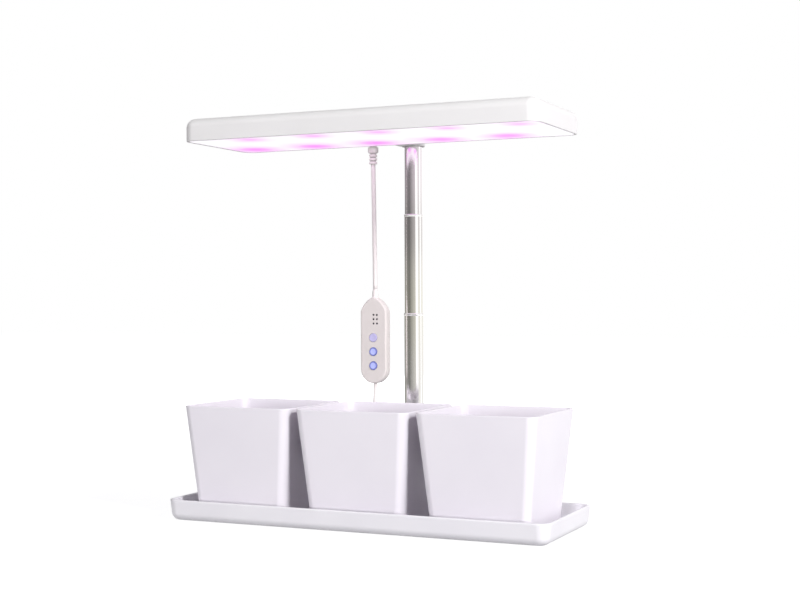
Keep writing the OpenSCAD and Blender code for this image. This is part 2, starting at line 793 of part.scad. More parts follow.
module lead_coil() color("#ebe8ea") {
    translate([coil_x, coil_y, tie_t]) rotate_extrude($fn = fine)
        translate([coil_d / 2, coil_h / 2]) rounded(coil_w, coil_h, lead_d / 2);
}

module coil_tie() color("#3a3a3e") {
    translate([coil_x, coil_y, tie_t]) rotate([0, 0, 180 - tie_angle / 2])
        rotate_extrude(angle = tie_angle, $fn = fine)
            translate([coil_d / 2, coil_h / 2]) difference() {
                rounded(coil_w + 2 * tie_t, coil_h + 2 * tie_t, lead_d / 2 + tie_t);
                rounded(coil_w, coil_h, lead_d / 2);
            }
}

module plug_body() color("#e6e3e6") translate([plug_x, plug_y, plug_z]) rotate([0, -90, 0]) {
    cylinder(r1 = lead_d / 2 + 0.3, r2 = lead_d / 2 + 1.6, h = plug_neck, $fn = fine);
    translate([0, 0, plug_neck]) linear_extrude(plug_len) rounded(plug_h, plug_w, 3);
}

module plug_shell() color("#c4c4c8")
    translate([plug_x - plug_neck - plug_len, plug_y, plug_z]) rotate([0, -90, 0])
        linear_extrude(shell_len) difference() {
            square([shell_h, shell_w], center = true);
            square([shell_h - 2 * shell_t, shell_w - 2 * shell_t], center = true);
        }

tray();
foot_screw();
pole_plug();
lower_tube();
middle_tube();
middle_glide();
upper_tube();
upper_glide();
pot_left();
pot_middle();
pot_right();
lamp_casing();
lamp_diffuser();
led_board();
white_leds();
grow_leds();
board_screws();
socket_screw();
strain_relief();
upper_cord();
controller_front();
controller_back();
controller_gland();
controller_board();
indicator_lights();
tact_switches();
controller_screws();
button_upper();
button_middle();
button_lower();
lead_drop();
lead_run();
lead_coil();
coil_tie();
lead_tail();
plug_body();
plug_shell();
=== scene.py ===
"""Looks of a countertop garden: three square pots on a drip tray, a telescopic
steel pole, an LED grow lamp over them and the controller that hangs on its cord.

Lengths are in metres and angles in degrees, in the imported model's own frame:
X runs along the tray, Y runs back to the pole and Z is up.
"""

from __future__ import annotations

import logging
import math
from collections.abc import Callable, Iterable, Iterator, Mapping, Sequence
from contextlib import contextmanager
from dataclasses import dataclass
from enum import Enum

import bmesh
import bpy
from bpy.types import Material, Node, NodeSocket, NodeTree, Object
from mathutils import Matrix, Quaternion, Vector


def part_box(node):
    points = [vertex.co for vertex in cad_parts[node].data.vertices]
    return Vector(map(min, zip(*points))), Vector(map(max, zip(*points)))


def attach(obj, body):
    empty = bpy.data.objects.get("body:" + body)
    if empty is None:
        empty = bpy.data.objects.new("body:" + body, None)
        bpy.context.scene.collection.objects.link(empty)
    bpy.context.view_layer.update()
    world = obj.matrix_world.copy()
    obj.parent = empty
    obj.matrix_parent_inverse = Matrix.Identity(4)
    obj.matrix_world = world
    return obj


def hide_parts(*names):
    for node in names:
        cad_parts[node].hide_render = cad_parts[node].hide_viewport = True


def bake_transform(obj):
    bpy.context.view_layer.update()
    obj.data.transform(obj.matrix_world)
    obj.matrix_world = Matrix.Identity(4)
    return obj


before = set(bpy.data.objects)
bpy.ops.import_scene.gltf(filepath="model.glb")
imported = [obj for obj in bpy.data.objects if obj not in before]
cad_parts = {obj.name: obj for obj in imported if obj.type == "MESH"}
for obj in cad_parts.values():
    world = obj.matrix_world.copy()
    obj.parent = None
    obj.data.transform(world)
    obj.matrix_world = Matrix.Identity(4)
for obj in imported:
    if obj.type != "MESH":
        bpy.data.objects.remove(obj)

log = logging.getLogger("garden")

Point = tuple[float, float, float]
Colour = tuple[float, float, float]
Step = tuple[float, float]
Test = Callable[[object], bool]

HAIR = 1e-5  # within this, two heights are the same one
DOUBLE = 1e-7  # within this, two corners are the same one
TURN = 0.5  # in radians: where a surface turns more than this, it has an edge
SMOOTH_ANGLE = 38.0
SOFT = 0.0012  # how far the top edge of a boss is softened
PAST = 0.01  # how far a cutting tool reaches past what it cuts
SPECK = 0.001  # the plane that shrinks to a drawn line's first point
SPOTS_EACH_WAY = 2.0  # coloured LEDs on each side of a row's middle one
TONE_SPAN = (0.32, 0.68)  # the noise values between which the tone runs
LINES_SPAN = (0.35, 0.65)  # the same for the drawn lines
LINES_STRETCH = (1, 1, 0.012)  # how the drawn lines' noise is drawn out along Z


class Body(Enum):
    """The rigid groups that pieces ride on."""

    BASE = "base"
    POLE_MIDDLE = "pole_middle"
    LAMP = "lamp"


class Part(Enum):
    """What is picked in edit mode."""

    VERT = "VERT"
    EDGE = "EDGE"
    FACE = "FACE"


class Cut(Enum):
    """How one closed shape acts on another."""

    AWAY = "DIFFERENCE"
    TOGETHER = "UNION"


# ---------- modelling moves ----------


def alone(*pieces: Object) -> None:
    """Selects these pieces and nothing else, the first of them active.

    Args:
        *pieces: The pieces.
    """
    if bpy.context.object and bpy.context.object.mode != "OBJECT":
        bpy.ops.object.mode_set(mode="OBJECT")
    bpy.ops.object.select_all(action="DESELECT")
    for piece in pieces:
        piece.select_set(True)
    if pieces:
        bpy.context.view_layer.objects.active = pieces[0]


@contextmanager
def editing(piece: Object) -> Iterator[None]:
    """Keeps a piece in edit mode, all of it selected at first, for a with block.

    Args:
        piece: The piece.
    """
    alone(piece)
    bpy.ops.object.mode_set(mode="EDIT")
    bpy.ops.mesh.select_all(action="SELECT")
    yield
    bpy.ops.object.mode_set(mode="OBJECT")


def primitive(name: str, add: Callable[..., set[str]], **settings: object) -> Object:
    """Adds one of Blender's primitives and settles its place into its mesh.

    Args:
        name: The piece's name.
        add: The operator that adds the primitive.
        **settings: The operator's own settings.

    Returns:
        The new piece, with its object at the origin.
    """
    alone()
    add(**settings)
    piece = bpy.context.object
    piece.name = piece.data.name = name
    bpy.ops.object.transform_apply(location=True, rotation=True, scale=True)
    return piece


def pick(piece: Object, part: Part, test: Test) -> int:
    """Selects, in edit mode, just what passes a test.

    Args:
        piece: The piece in edit mode.
        part: Whether vertices, edges or faces are tested.
        test: Takes a bmesh element and says whether it is wanted.

    Returns:
        How many elements were selected.
    """
    bpy.ops.mesh.select_mode(type=part.value)
    bpy.ops.mesh.select_all(action="DESELECT")
    shape = bmesh.from_edit_mesh(piece.data)
    pools = {Part.VERT: shape.verts, Part.EDGE: shape.edges, Part.FACE: shape.faces}
    wanted = [element for element in pools[part] if test(element)]
    for element in wanted:
        element.select_set(True)
    shape.select_flush_mode()
    bmesh.update_edit_mesh(piece.data)
    return len(wanted)


def level(at: float, axis: int = 2) -> Test:
    """Makes a test for edges and faces that lie wholly at one place along an axis."""
    return lambda element: all(abs(vert.co[axis] - at) < HAIR for vert in element.verts)


def rim(at: float, axis: int = 2) -> Test:
    """Makes a test for the edges at one place along an axis where the surface turns."""
    here = level(at, axis)
    return lambda edge: here(edge) and edge.is_manifold and edge.calc_face_angle() > TURN


def extrude(by: Point) -> None:
    """Extrudes the selection by a vector."""
    bpy.ops.mesh.extrude_region_move(TRANSFORM_OT_translate={"value": by})


def resize(by: Point, centre: Point) -> None:
    """Scales the selection about a point."""
    bpy.ops.transform.resize(value=by, center_override=centre)


def inset_steps(steps: Iterable[Step]) -> None:
    """Insets the selected face again and again.

    Args:
        steps: For each new ring, how far it lies inwards of the last one and how
            far it lies along the face's normal.
    """
    for inwards, along in steps:
        if inwards < HAIR:
            bpy.ops.mesh.extrude_region_shrink_fatten(
                TRANSFORM_OT_shrink_fatten={"value": along})
        else:
            bpy.ops.mesh.inset(thickness=inwards, depth=along, use_even_offset=True)


def between(spots: Sequence[Step]) -> list[Step]:
    """Turns the points of a profile into the steps from each one to the next."""
    return [(b[0] - a[0], b[1] - a[1]) for a, b in zip(spots, spots[1:])]


def arc_steps(radius: float, stop: float, count: int) -> list[Step]:
    """Works out the inset steps that follow an arc.

    The arc starts along the face's normal, and at 90 degrees it runs inwards.

    Args:
        radius: The arc's radius.
        stop: The angle at which it ends.
        count: How many steps it takes.

    Returns:
        The steps, for inset_steps.
    """
    turns = [math.radians(stop * i / count) for i in range(count + 1)]
    return between([(radius * (1 - math.cos(a)), radius * math.sin(a)) for a in turns])


def lid(piece: Object, test: Test) -> None:
    """Closes a shell's open loop, if it has one, and selects the face that passes a test.

    Args:
        piece: The piece in edit mode.
        test: Says which face stays selected.
    """
    if pick(piece, Part.EDGE, lambda edge: edge.is_boundary):
        bpy.ops.mesh.edge_face_add()
    face_outwards()
    pick(piece, Part.FACE, test)


def face_outwards() -> None:
    """Merges doubles and points all faces outwards, in edit mode."""
    bpy.ops.mesh.select_all(action="SELECT")
    bpy.ops.mesh.remove_doubles(threshold=DOUBLE)
    bpy.ops.mesh.normals_make_consistent(inside=False)


def round_edges(piece: Object, test: Test, radius: float, segments: int = 3) -> None:
    """Rounds the edges that pass a test.

    Args:
        piece: The piece in edit mode.
        test: Says whether an edge is rounded.
        radius: The width of the round on each side of the edge.
        segments: How many faces the round gets.
    """
    if pick(piece, Part.EDGE, test):
        bpy.ops.mesh.bevel(offset=radius, segments=segments, profile=0.5,
                           clamp_overlap=True, affect="EDGES")


def rounded_plate(name: str, width: float, depth: float, corner: float, at: Point,
                  segments: int = 10) -> Object:
    """Makes a flat face with round corners that looks up.

    Args:
        name: The piece's name.
        width: Its size along X.
        depth: Its size along Y.
        corner: The radius of its corners.
        at: Its middle.
        segments: How many edges each corner gets.

    Returns:
        The new piece, of one face.
    """
    plate = primitive(name, bpy.ops.mesh.primitive_plane_add, size=1, location=at)
    with editing(plate):
        resize((width, depth, 1), at)
        bpy.ops.mesh.bevel(offset=corner, segments=segments, affect="VERTICES",
                           clamp_overlap=False)
    return plate


def rounded_block(name: str, low: Point, high: Point, corner: float,
                  edge: float = 0.0) -> Object:
    """Makes a block with round upright corners and, if asked, soft upper and lower edges.

    Args:
        name: The piece's name.
        low: Its lowest corner.
        high: Its highest corner.
        corner: The radius of its upright corners.
        edge: The radius along its top and bottom.

    Returns:
        The new piece.
    """
    middle = ((low[0] + high[0]) / 2, (low[1] + high[1]) / 2, low[2])
    block = rounded_plate(name, high[0] - low[0], high[1] - low[1], corner, middle, 6)
    with editing(block):
        extrude((0, 0, high[2] - low[2]))
        face_outwards()
        if edge:
            for height in (low[2], high[2]):
                round_edges(block, rim(height), edge)
    return block


def centred_block(width: float, depth: float, low: float, high: float,
                  corner: float) -> Object:
    """Makes a block with round upright corners about the Z axis, to cut or to join with.

    Args:
        width: Its size along X.
        depth: Its size along Y.
        low: The height of its underside.
        high: The height of its top.
        corner: The radius of its upright corners.

    Returns:
        The block.
    """
    return rounded_block("block", (-width / 2, -depth / 2, low),
                         (width / 2, depth / 2, high), corner)


def drawn(name: str, points: Sequence[Point]) -> Object:
    """Draws a closed line of edges from point to point by extruding a vertex.

    Args:
        name: The piece's name.
        points: The points, in order.

    Returns:
        The new piece, of edges only.
    """
    line = primitive(name, bpy.ops.mesh.primitive_plane_add, size=SPECK, location=points[0])
    with editing(line):
        bpy.ops.mesh.select_mode(type="VERT")
        bpy.ops.mesh.merge(type="CENTER")
        for here, there in zip(points, points[1:]):
            extrude(tuple(b - a for a, b in zip(here, there)))
        pick(line, Part.VERT, lambda vert: len(vert.link_edges) < 2)
        bpy.ops.mesh.edge_face_add()
    return line


def drawn_block(name: str, points: Sequence[Point], by: Point) -> Object:
    """Draws a closed flat outline, fills it and gives it a thickness.

    Args:
        name: The piece's name.
        points: The outline's points, in order.
        by: The vector that the filled outline is extruded by.

    Returns:
        The new closed piece.
    """
    block = drawn(name, points)
    with editing(block):
        bpy.ops.mesh.edge_face_add()
        extrude(by)
        face_outwards()
    return block


def turned(name: str, profile: Sequence[Step], at: Point, axis: Point = (0, 0, 1),
           steps: int = 64) -> Object:
    """Turns a closed profile about an axis, as on a lathe.

    Args:
        name: The piece's name.
        profile: Pairs of a radius and a distance along the axis.
        at: The point from which distances along the axis count.
        axis: The axis's direction.
        steps: How many faces go round.

    Returns:
        The new closed piece.
    """
    along = Vector(axis)
    out = along.orthogonal().normalized()
    piece = drawn(name, [tuple(Vector(at) + out * r + along * h) for r, h in profile])
    with editing(piece):
        bpy.ops.mesh.spin(steps=steps, angle=2 * math.pi, center=at, axis=axis,
                          use_auto_merge=True)
        face_outwards()
        pick(piece, Part.EDGE, lambda edge: edge.is_wire)
        bpy.ops.mesh.delete(type="EDGE")
    return piece


def soft_top(radius: float, top: float) -> list[Step]:
    """Gives a turned boss's profile from its softened top edge to its middle."""
    near = SOFT * 0.3
    return [(radius - near, top - near), (radius - SOFT, top), (0, top)]


def rod(radius: float, length: float, axis: int = 2, sides: int = 48) -> Object:
    """Makes a round bar about the origin, to cut or to join with.

    Args:
        radius: Its radius.
        length: Its length.
        axis: The axis that it lies along, counted from X.
        sides: How many sides it has.

    Returns:
        The bar.
    """
    turn = {1: (math.pi / 2, 0, 0), 2: (0, 0, 0)}[axis]
    return primitive("rod", bpy.ops.mesh.primitive_cylinder_add, vertices=sides,
                     radius=radius, depth=length, rotation=turn)


def modify(piece: Object, kind: str, **settings: object) -> None:
    """Adds one modifier to a piece and applies it.

    Args:
        piece: The piece.
        kind: The modifier's type.
        **settings: The modifier's own settings.
    """
    alone(piece)
    modifier = piece.modifiers.new(kind.lower(), kind)
    for name, value in settings.items():
        setattr(modifier, name, value)
    bpy.ops.object.modifier_apply(modifier=modifier.name)


def cut(piece: Object, tool: Object, how: Cut, places: Sequence[Point] = ()) -> None:
    """Cuts a tool away from a piece, or joins it on, and removes the tool.

    Args:
        piece: The piece.
        tool: The closed shape that it is cut with.
        how: Whether the tool is cut away or joined on.
        places: Where copies of a tool that stands about the origin act, if it is
            to act anywhere else than where it is.
    """
    if places:
        tool = copies(tool, places)
    modify(piece, "BOOLEAN", operation=how.value, object=tool, solver="EXACT")
    bpy.data.objects.remove(tool)
    with editing(piece):
        bpy.ops.mesh.remove_doubles(threshold=HAIR / 5)


def copies(tool: Object, places: Sequence[Point]) -> Object:
    """Repeats a closed shape at each place and joins the copies into one tool.

    Args:
        tool: The shape, modelled about the origin.
        places: Where each copy goes.

    Returns:
        The joined tool.
    """
    made = []
    for place in places:
        copy = tool.copy()
        copy.data = tool.data.copy()
        copy.location = place
        bpy.context.collection.objects.link(copy)
        alone(copy)
        bpy.ops.object.transform_apply(location=True)
        made.append(copy)
    bpy.data.objects.remove(tool)
    return joined(made)


def joined(pieces: Sequence[Object]) -> Object:
    """Joins pieces that don't touch into the first of them.

    Args:
        pieces: The pieces.

    Returns:
        The first of them.
    """
    alone(*pieces)
    bpy.ops.object.join()
    return pieces[0]


def smooth(piece: Object, angle: float = SMOOTH_ANGLE) -> None:
    """Shades round faces smooth and keeps flat ones flat.

    Args:
        piece: The piece.
        angle: Where the surface turns more than this, it keeps a sharp edge.
    """
    alone(piece)
    bpy.ops.object.shade_smooth_by_angle(angle=math.radians(angle))
    modify(piece, "WEIGHTED_NORMAL", keep_sharp=True)


def fit(piece: Object, body: Body | str, slot: str, *nodes: str) -> None:
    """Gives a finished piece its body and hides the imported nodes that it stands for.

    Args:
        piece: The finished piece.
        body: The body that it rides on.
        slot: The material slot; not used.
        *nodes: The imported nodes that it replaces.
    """
    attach(piece, body.value if isinstance(body, Body) else body)
    if nodes:
        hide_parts(*nodes)
    log.info("%s: %d faces", piece.name, len(piece.data.polygons))


def complete(piece: Object, finish: Finish, body: Body | str, slot: str,
             *nodes: str) -> None:
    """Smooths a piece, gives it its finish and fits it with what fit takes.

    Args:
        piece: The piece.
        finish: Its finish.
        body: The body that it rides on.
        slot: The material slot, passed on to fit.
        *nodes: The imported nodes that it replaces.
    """
    smooth(piece)
    finish.dress(piece)
    fit(piece, body, slot, *nodes)


# ---------- finishes ----------


class Graph:
    """A node tree with short ways to add and join nodes."""

    def __init__(self, tree: NodeTree) -> None:
        """Starts an empty tree."""
        self.tree = tree
        tree.nodes.clear()

    def add(self, kind: str, feeds: Mapping[str | int, object] | None = None,
            **settings: object) -> Node:
        """Adds a node.

        Args:
            kind: The node's type.
            feeds: What each input gets: another node's socket or a value.
            **settings: The node's other properties.

        Returns:
            The node.
        """
        node = self.tree.nodes.new(kind)
        for name, value in settings.items():
            setattr(node, name, value)
        for name, value in (feeds or {}).items():
            if isinstance(value, NodeSocket):
                self.tree.links.new(value, node.inputs[name])
            else:
                node.inputs[name].default_value = value
        return node

    def show(self, shader: Node, kind: str = "ShaderNodeOutputMaterial") -> None:
        """Joins a shader to a new output node."""
        self.add(kind, {"Surface": shader.outputs[0]})

    def place(self) -> NodeSocket:
        """Adds the Texture Coordinate node and returns the Object coordinates."""
        return self.add("ShaderNodeTexCoord").outputs["Object"]

    def axes(self, vector: NodeSocket) -> Mapping[str, NodeSocket]:
        """Takes a vector apart into its X, Y and Z."""
        return self.add("ShaderNodeSeparateXYZ", {0: vector}).outputs

    def maths(self, operation: str, *values: object) -> NodeSocket:
        """Adds a Math node and returns its result."""
        return self.add("ShaderNodeMath", dict(enumerate(values)),
                        operation=operation).outputs[0]

    def vector(self, operation: str, *values: object) -> NodeSocket:
        """Adds a Vector Math node and returns its result."""
        node = self.add("ShaderNodeVectorMath", dict(enumerate(values)), operation=operation)
        return node.outputs["Value" if operation == "LENGTH" else "Vector"]

    def noise(self, vector: object, scale: object, detail: float) -> NodeSocket:
        """Adds a Noise texture and returns its grey value."""
        feeds = {"Vector": vector, "Scale": scale, "Detail": detail}
        return self.add("ShaderNodeTexNoise", feeds).outputs["Fac"]

    def span(self, value: NodeSocket, low: object, high: object, to_low: float = 0.0,
             to_high: float = 1.0, kind: str = "LINEAR") -> NodeSocket:
        """Maps one range of values to another and returns the result.

        Args:
            value: What is mapped.
            low: The start of its range.
            high: The end of its range.
            to_low: What the start becomes.
            to_high: What the end becomes.
            kind: How the values between run.

        Returns:
            The result.
        """
        feeds = {"Value": value, "From Min": low, "From Max": high, "To Min": to_low,
                 "To Max": to_high}
        return self.add("ShaderNodeMapRange", feeds, clamp=True,
                        interpolation_type=kind).outputs["Result"]

    def blend(self, factor: object, first: object, second: object,
              kind: str = "MIX") -> NodeSocket:
        """Mixes two colours and returns the result.

        Args:
            factor: The share of the second colour.
            first: The first colour.
            second: The second colour.
            kind: How they mix.

        Returns:
            The result.
        """
        feeds = {"Factor": factor, "A": rgba(first), "B": rgba(second)}
        return self.add("ShaderNodeMix", feeds, data_type="RGBA",
                        blend_type=kind).outputs["Result"]

    def ramp(self, value: NodeSocket, stops: Iterable[tuple[float, Colour]]) -> NodeSocket:
        """Adds a Color Ramp with these stops and returns its colour.

        Args:
            value: The place along the ramp.
            stops: The place and colour of each stop.

        Returns:
            The colour.
        """
        node = self.add("ShaderNodeValToRGB", {"Fac": value})
        bar = node.color_ramp.elements
        for spot, colour in stops:
            bar.new(spot).color = rgba(colour)
        for end in (0, -1):
            bar.remove(bar[end])
        return node.outputs["Color"]


def rgba(colour: object) -> object:
    """Adds an alpha to a plain colour and passes a socket on."""
    return (*colour, 1.0) if isinstance(colour, tuple) else colour


def new_material(name: str) -> tuple[Material, Graph]:
    """Starts a material with an empty graph.

    Args:
        name: The material's name.

    Returns:
        The material and its graph.
    """
    material = bpy.data.materials.new(name)
    material.use_nodes = True
    return material, Graph(material.node_tree)


FLOAT, VECTOR = "NodeSocketFloat", "NodeSocketVector"
Sockets = Mapping[str, NodeSocket]


def shader_group(name: str, inputs: dict[str, str],
                 fill: Callable[[Graph, Sockets], dict[str, NodeSocket]]) -> NodeTree:
    """Makes a shader node group.

    Args:
        name: The group's name.
        inputs: The kind of socket for each input's name.
        fill: Builds the nodes from the inputs and gives a number for each output.

    Returns:
        The new group.
    """
    tree = bpy.data.node_groups.new(name, "ShaderNodeTree")
    for socket, kind in inputs.items():
        tree.interface.new_socket(socket, in_out="INPUT", socket_type=kind)
    graph = Graph(tree)
    results = fill(graph, graph.add("NodeGroupInput").outputs)
    for socket in results:
        tree.interface.new_socket(socket, in_out="OUTPUT", socket_type=FLOAT)
    graph.add("NodeGroupOutput", results)
    return tree


def _fill_grain(graph: Graph, given: Sockets) -> dict[str, NodeSocket]:
    """Builds the fine texture and the broad tone of a moulded surface.

    Args:
        graph: The tree that the nodes go into.
        given: The group's inputs.

    Returns:
        The group's outputs.
    """
    broad = graph.noise(given["Vector"], given["Broad"], 2)
    return {"Height": graph.noise(given["Vector"], given["Fine"], 3),
            "Tone": graph.span(broad, *TONE_SPAN)}


def _fill_drawn_lines(graph: Graph, given: Sockets) -> dict[str, NodeSocket]:
    """Builds the upright lines that drawing leaves on a steel tube.

    Args:
        graph: The tree that the nodes go into.
        given: The group's inputs.

    Returns:
        The group's outputs.
    """
    stretched = graph.vector("MULTIPLY", given["Vector"], LINES_STRETCH)
    lines = graph.noise(stretched, given["Fine"], 4)
    return {"Height": lines, "Tone": graph.span(lines, *LINES_SPAN)}


def _fill_spot_row(graph: Graph, given: Sockets) -> dict[str, NodeSocket]:
    """Builds one row of soft round spots, five along X.

    Args:
        graph: The tree that the nodes go into.
        given: The group's inputs.

    Returns:
        The group's outputs.
    """
    place, pitch = graph.axes(given["Vector"]), given["Pitch"]
    across = graph.maths("SUBTRACT", place["X"], given["Middle"])
    turn = graph.maths("ROUND", graph.maths("DIVIDE", across, pitch))
    held = graph.maths("MINIMUM", graph.maths("MAXIMUM", turn, -SPOTS_EACH_WAY), SPOTS_EACH_WAY)
    dx = graph.maths("SUBTRACT", across, graph.maths("MULTIPLY", held, pitch))
    dy = graph.maths("SUBTRACT", place["Y"], given["Row"])
    dx2, dy2, size2 = (graph.maths("MULTIPLY", v, v) for v in (dx, dy, given["Size"]))
    near = graph.maths("DIVIDE", graph.maths("ADD", dx2, dy2), size2)
    return {"Mask": graph.maths("EXPONENT", graph.maths("MULTIPLY", near, -1.0))}


def _fill_ring(graph: Graph, given: Sockets) -> dict[str, NodeSocket]:
    """Builds a mask of what lies farther from an axis along Y than a radius.

    Args:
        graph: The tree that the nodes go into.
        given: The group's inputs.

    Returns:
        The group's outputs.
    """
    apart = graph.vector("SUBTRACT", given["Vector"], given["Middle"])
    length = graph.vector("LENGTH", graph.vector("MULTIPLY", apart, (1, 0, 1)))
    ends = (graph.maths(kind, given["Radius"], given["Soft"]) for kind in ("SUBTRACT", "ADD"))
    return {"Outside": graph.span(length, *ends, kind="SMOOTHSTEP")}


GRAIN = shader_group(
    "moulding_grain", {"Vector": VECTOR, "Fine": FLOAT, "Broad": FLOAT}, _fill_grain)
DRAWN_LINES = shader_group("drawn_lines", {"Vector": VECTOR, "Fine": FLOAT}, _fill_drawn_lines)
SPOT_ROW = shader_group("spot_row", {"Vector": VECTOR, "Pitch": FLOAT, "Middle": FLOAT,
                                     "Row": FLOAT, "Size": FLOAT}, _fill_spot_row)
RING = shader_group("ring", {"Vector": VECTOR, "Middle": VECTOR, "Radius": FLOAT,
                             "Soft": FLOAT}, _fill_ring)


@dataclass(frozen=True)
class Finish:
    """A surface: its colour, its shine and its fine texture.

    Attributes:
        name: The material's name.
        colour: Its colour, as linear light.
        shade: What the colour turns to where the tone is strongest.
        roughness: Its middle roughness.
        swing: How far the roughness varies each way.
        fine: The scale of the fine texture.
        broad: The scale of the tone.
        bump: The height of the fine texture.
        relief: How strongly the height shows.
    """

    name: str
    colour: Colour
    shade: Colour
    roughness: float = 0.4
    swing: float = 0.04
    fine: float = 1600.0
    broad: float = 14.0
    bump: float = 0.00002
    relief: float = 0.6

    def texture(self, graph: Graph, place: NodeSocket) -> Sockets:
        """Adds the group that makes the fine texture's height and the tone."""
        feeds = {"Vector": place, "Fine": self.fine, "Broad": self.broad}
        return graph.add("ShaderNodeGroup", feeds, node_tree=GRAIN).outputs

    def tinted(self, graph: Graph, place: NodeSocket, tone: NodeSocket) -> NodeSocket:
        """Makes the colour, shaded by the tone."""
        return graph.blend(tone, self.colour, self.shade)

    def extras(self, tint: NodeSocket) -> dict[str, object]:
        """Gives what else the shader gets."""
        return {}

    def material(self) -> Material:
        """Builds the material.

        Returns:
            The new material.
        """
        material, graph = new_material(self.name)
        place = graph.place()
        texture = self.texture(graph, place)
        tone, low, high = texture["Tone"], self.roughness - self.swing, self.roughness + self.swing
        bump = graph.add("ShaderNodeBump", {"Height": texture["Height"], "Distance": self.bump,
                                            "Strength": self.relief})
        tint = self.tinted(graph, place, tone)
        feeds = {"Base Color": tint, "Roughness": graph.span(tone, 0.0, 1.0, low, high),
                 "Normal": bump.outputs["Normal"], **self.extras(tint)}
        graph.show(graph.add("ShaderNodeBsdfPrincipled", feeds))
        return material

    def dress(self, *pieces: Object) -> None:
        """Gives pieces this finish in place of any other.

        Args:
            *pieces: The pieces, which share one material.
        """
        material = self.material()
        for piece in pieces:
            piece.data.materials.clear()
            piece.data.materials.append(material)

    def paint(self, piece: Object, test: Test) -> None:
        """Gives this finish to those faces of a dressed piece that pass a test.

        Args:
            piece: The piece.
            test: Says which faces are painted.
        """
        piece.data.materials.append(self.material())
        with editing(piece):
            pick(piece, Part.FACE, test)
            piece.active_material_index = len(piece.data.materials) - 1
            bpy.ops.object.material_slot_assign()


@dataclass(frozen=True)
class Metal(Finish):
    """A metal with lines from drawing or brushing along Z."""

    def texture(self, graph: Graph, place: NodeSocket) -> Sockets:
        """Adds the group that makes the drawn lines."""
        feeds = {"Vector": place, "Fine": self.fine}
        return graph.add("ShaderNodeGroup", feeds, node_tree=DRAWN_LINES).outputs

    def extras(self, tint: NodeSocket) -> dict[str, object]:
        """Makes the shader a metal."""
        return {"Metallic": 1.0}


@dataclass(frozen=True)
class Glow(Finish):
    """An opal panel lit from behind by white LEDs and two rows of coloured ones.

    Attributes:
        spot: The colour over a coloured LED.
        strength: How strongly the panel shines.
        pitch: The distance between the coloured LEDs of a row.
        rows: The middle along X, the place along Y, the spots' radius and their
            strength for each row.
    """

    spot: Colour = (0.93, 0.22, 0.93)
    strength: float = 0.75
    pitch: float = 0.0675
    rows: tuple[tuple[float, float, float, float], ...] = ()

    def tinted(self, graph: Graph, place: NodeSocket, tone: NodeSocket) -> NodeSocket:
        """Makes the colour, with the spots of the coloured LEDs.

        Args:
            graph: The tree that the nodes go into.
            place: The place on the piece.
            tone: The tone, which the panel's light hides.

        Returns:
            The colour.
        """
        mask: object = 0.0
        for middle, row, size, share in self.rows:
            feeds = {"Vector": place, "Pitch": self.pitch, "Middle": middle, "Row": row,
                     "Size": size}
            spots = graph.add("ShaderNodeGroup", feeds, node_tree=SPOT_ROW).outputs["Mask"]
            mask = graph.maths("MAXIMUM", graph.maths("MULTIPLY", spots, share), mask)
        # The spots are the coloured LEDs' light, painted into the base colour as well as shining as
        # emission.
        return graph.blend(mask, self.colour, self.spot)

    def extras(self, tint: NodeSocket) -> dict[str, object]:
        """Makes the panel shine in its own colour."""
        return {"Emission Color": tint, "Emission Strength": self.strength}


@dataclass(frozen=True)
class ButtonFinish(Finish):
    """A soft button with a darker ring round its edge.

    Attributes:
        rim: The ring's colour.
        radius: Where the ring starts.
        soft: How wide its inner border fades.
        middle: The button's middle.
    """

    rim: Colour = (0.17, 0.20, 0.56)
    radius: float = 0.003
    soft: float = 0.0005
    middle: Point = (0, 0, 0)

    def tinted(self, graph: Graph, place: NodeSocket, tone: NodeSocket) -> NodeSocket:
        """Makes the colour, with the ring.

        Args:
            graph: The tree that the nodes go into.
            place: The place on the piece.
            tone: The tone, which a button goes without.

        Returns:
            The colour.
        """
        feeds = {"Vector": place, "Middle": self.middle, "Radius": self.radius,
                 "Soft": self.soft}
        ring = graph.add("ShaderNodeGroup", feeds, node_tree=RING).outputs["Outside"]
        return graph.blend(ring, self.colour, self.rim)


POT_PLASTIC = Finish("pot_plastic", (0.82, 0.785, 0.84), (0.795, 0.76, 0.82), 0.42, 0.05)
TRAY_PLASTIC = Finish("tray_plastic", (0.83, 0.81, 0.85), (0.80, 0.78, 0.825), 0.38, 0.05)
LAMP_PLASTIC = Finish("lamp_plastic", (0.79, 0.775, 0.78), (0.76, 0.745, 0.75), 0.36, 0.05)
CORD_PLASTIC = Finish("cord_plastic", (0.82, 0.775, 0.765), (0.77, 0.725, 0.715), 0.48, 0.05, 2400)
# painted shade: a darker grey for the strain relief's grooves, standing in for the shadow in them
GROOVE_SHADE = Finish("groove", (0.46, 0.43, 0.43), (0.42, 0.39, 0.39), 0.5)
CONTROL_PLASTIC = Finish("control_plastic", (0.70, 0.655, 0.64), (0.675, 0.63, 0.615), 0.4)
BLACK_PLASTIC = Finish("black_plastic", (0.02, 0.02, 0.022), (0.03, 0.03, 0.032), 0.5)
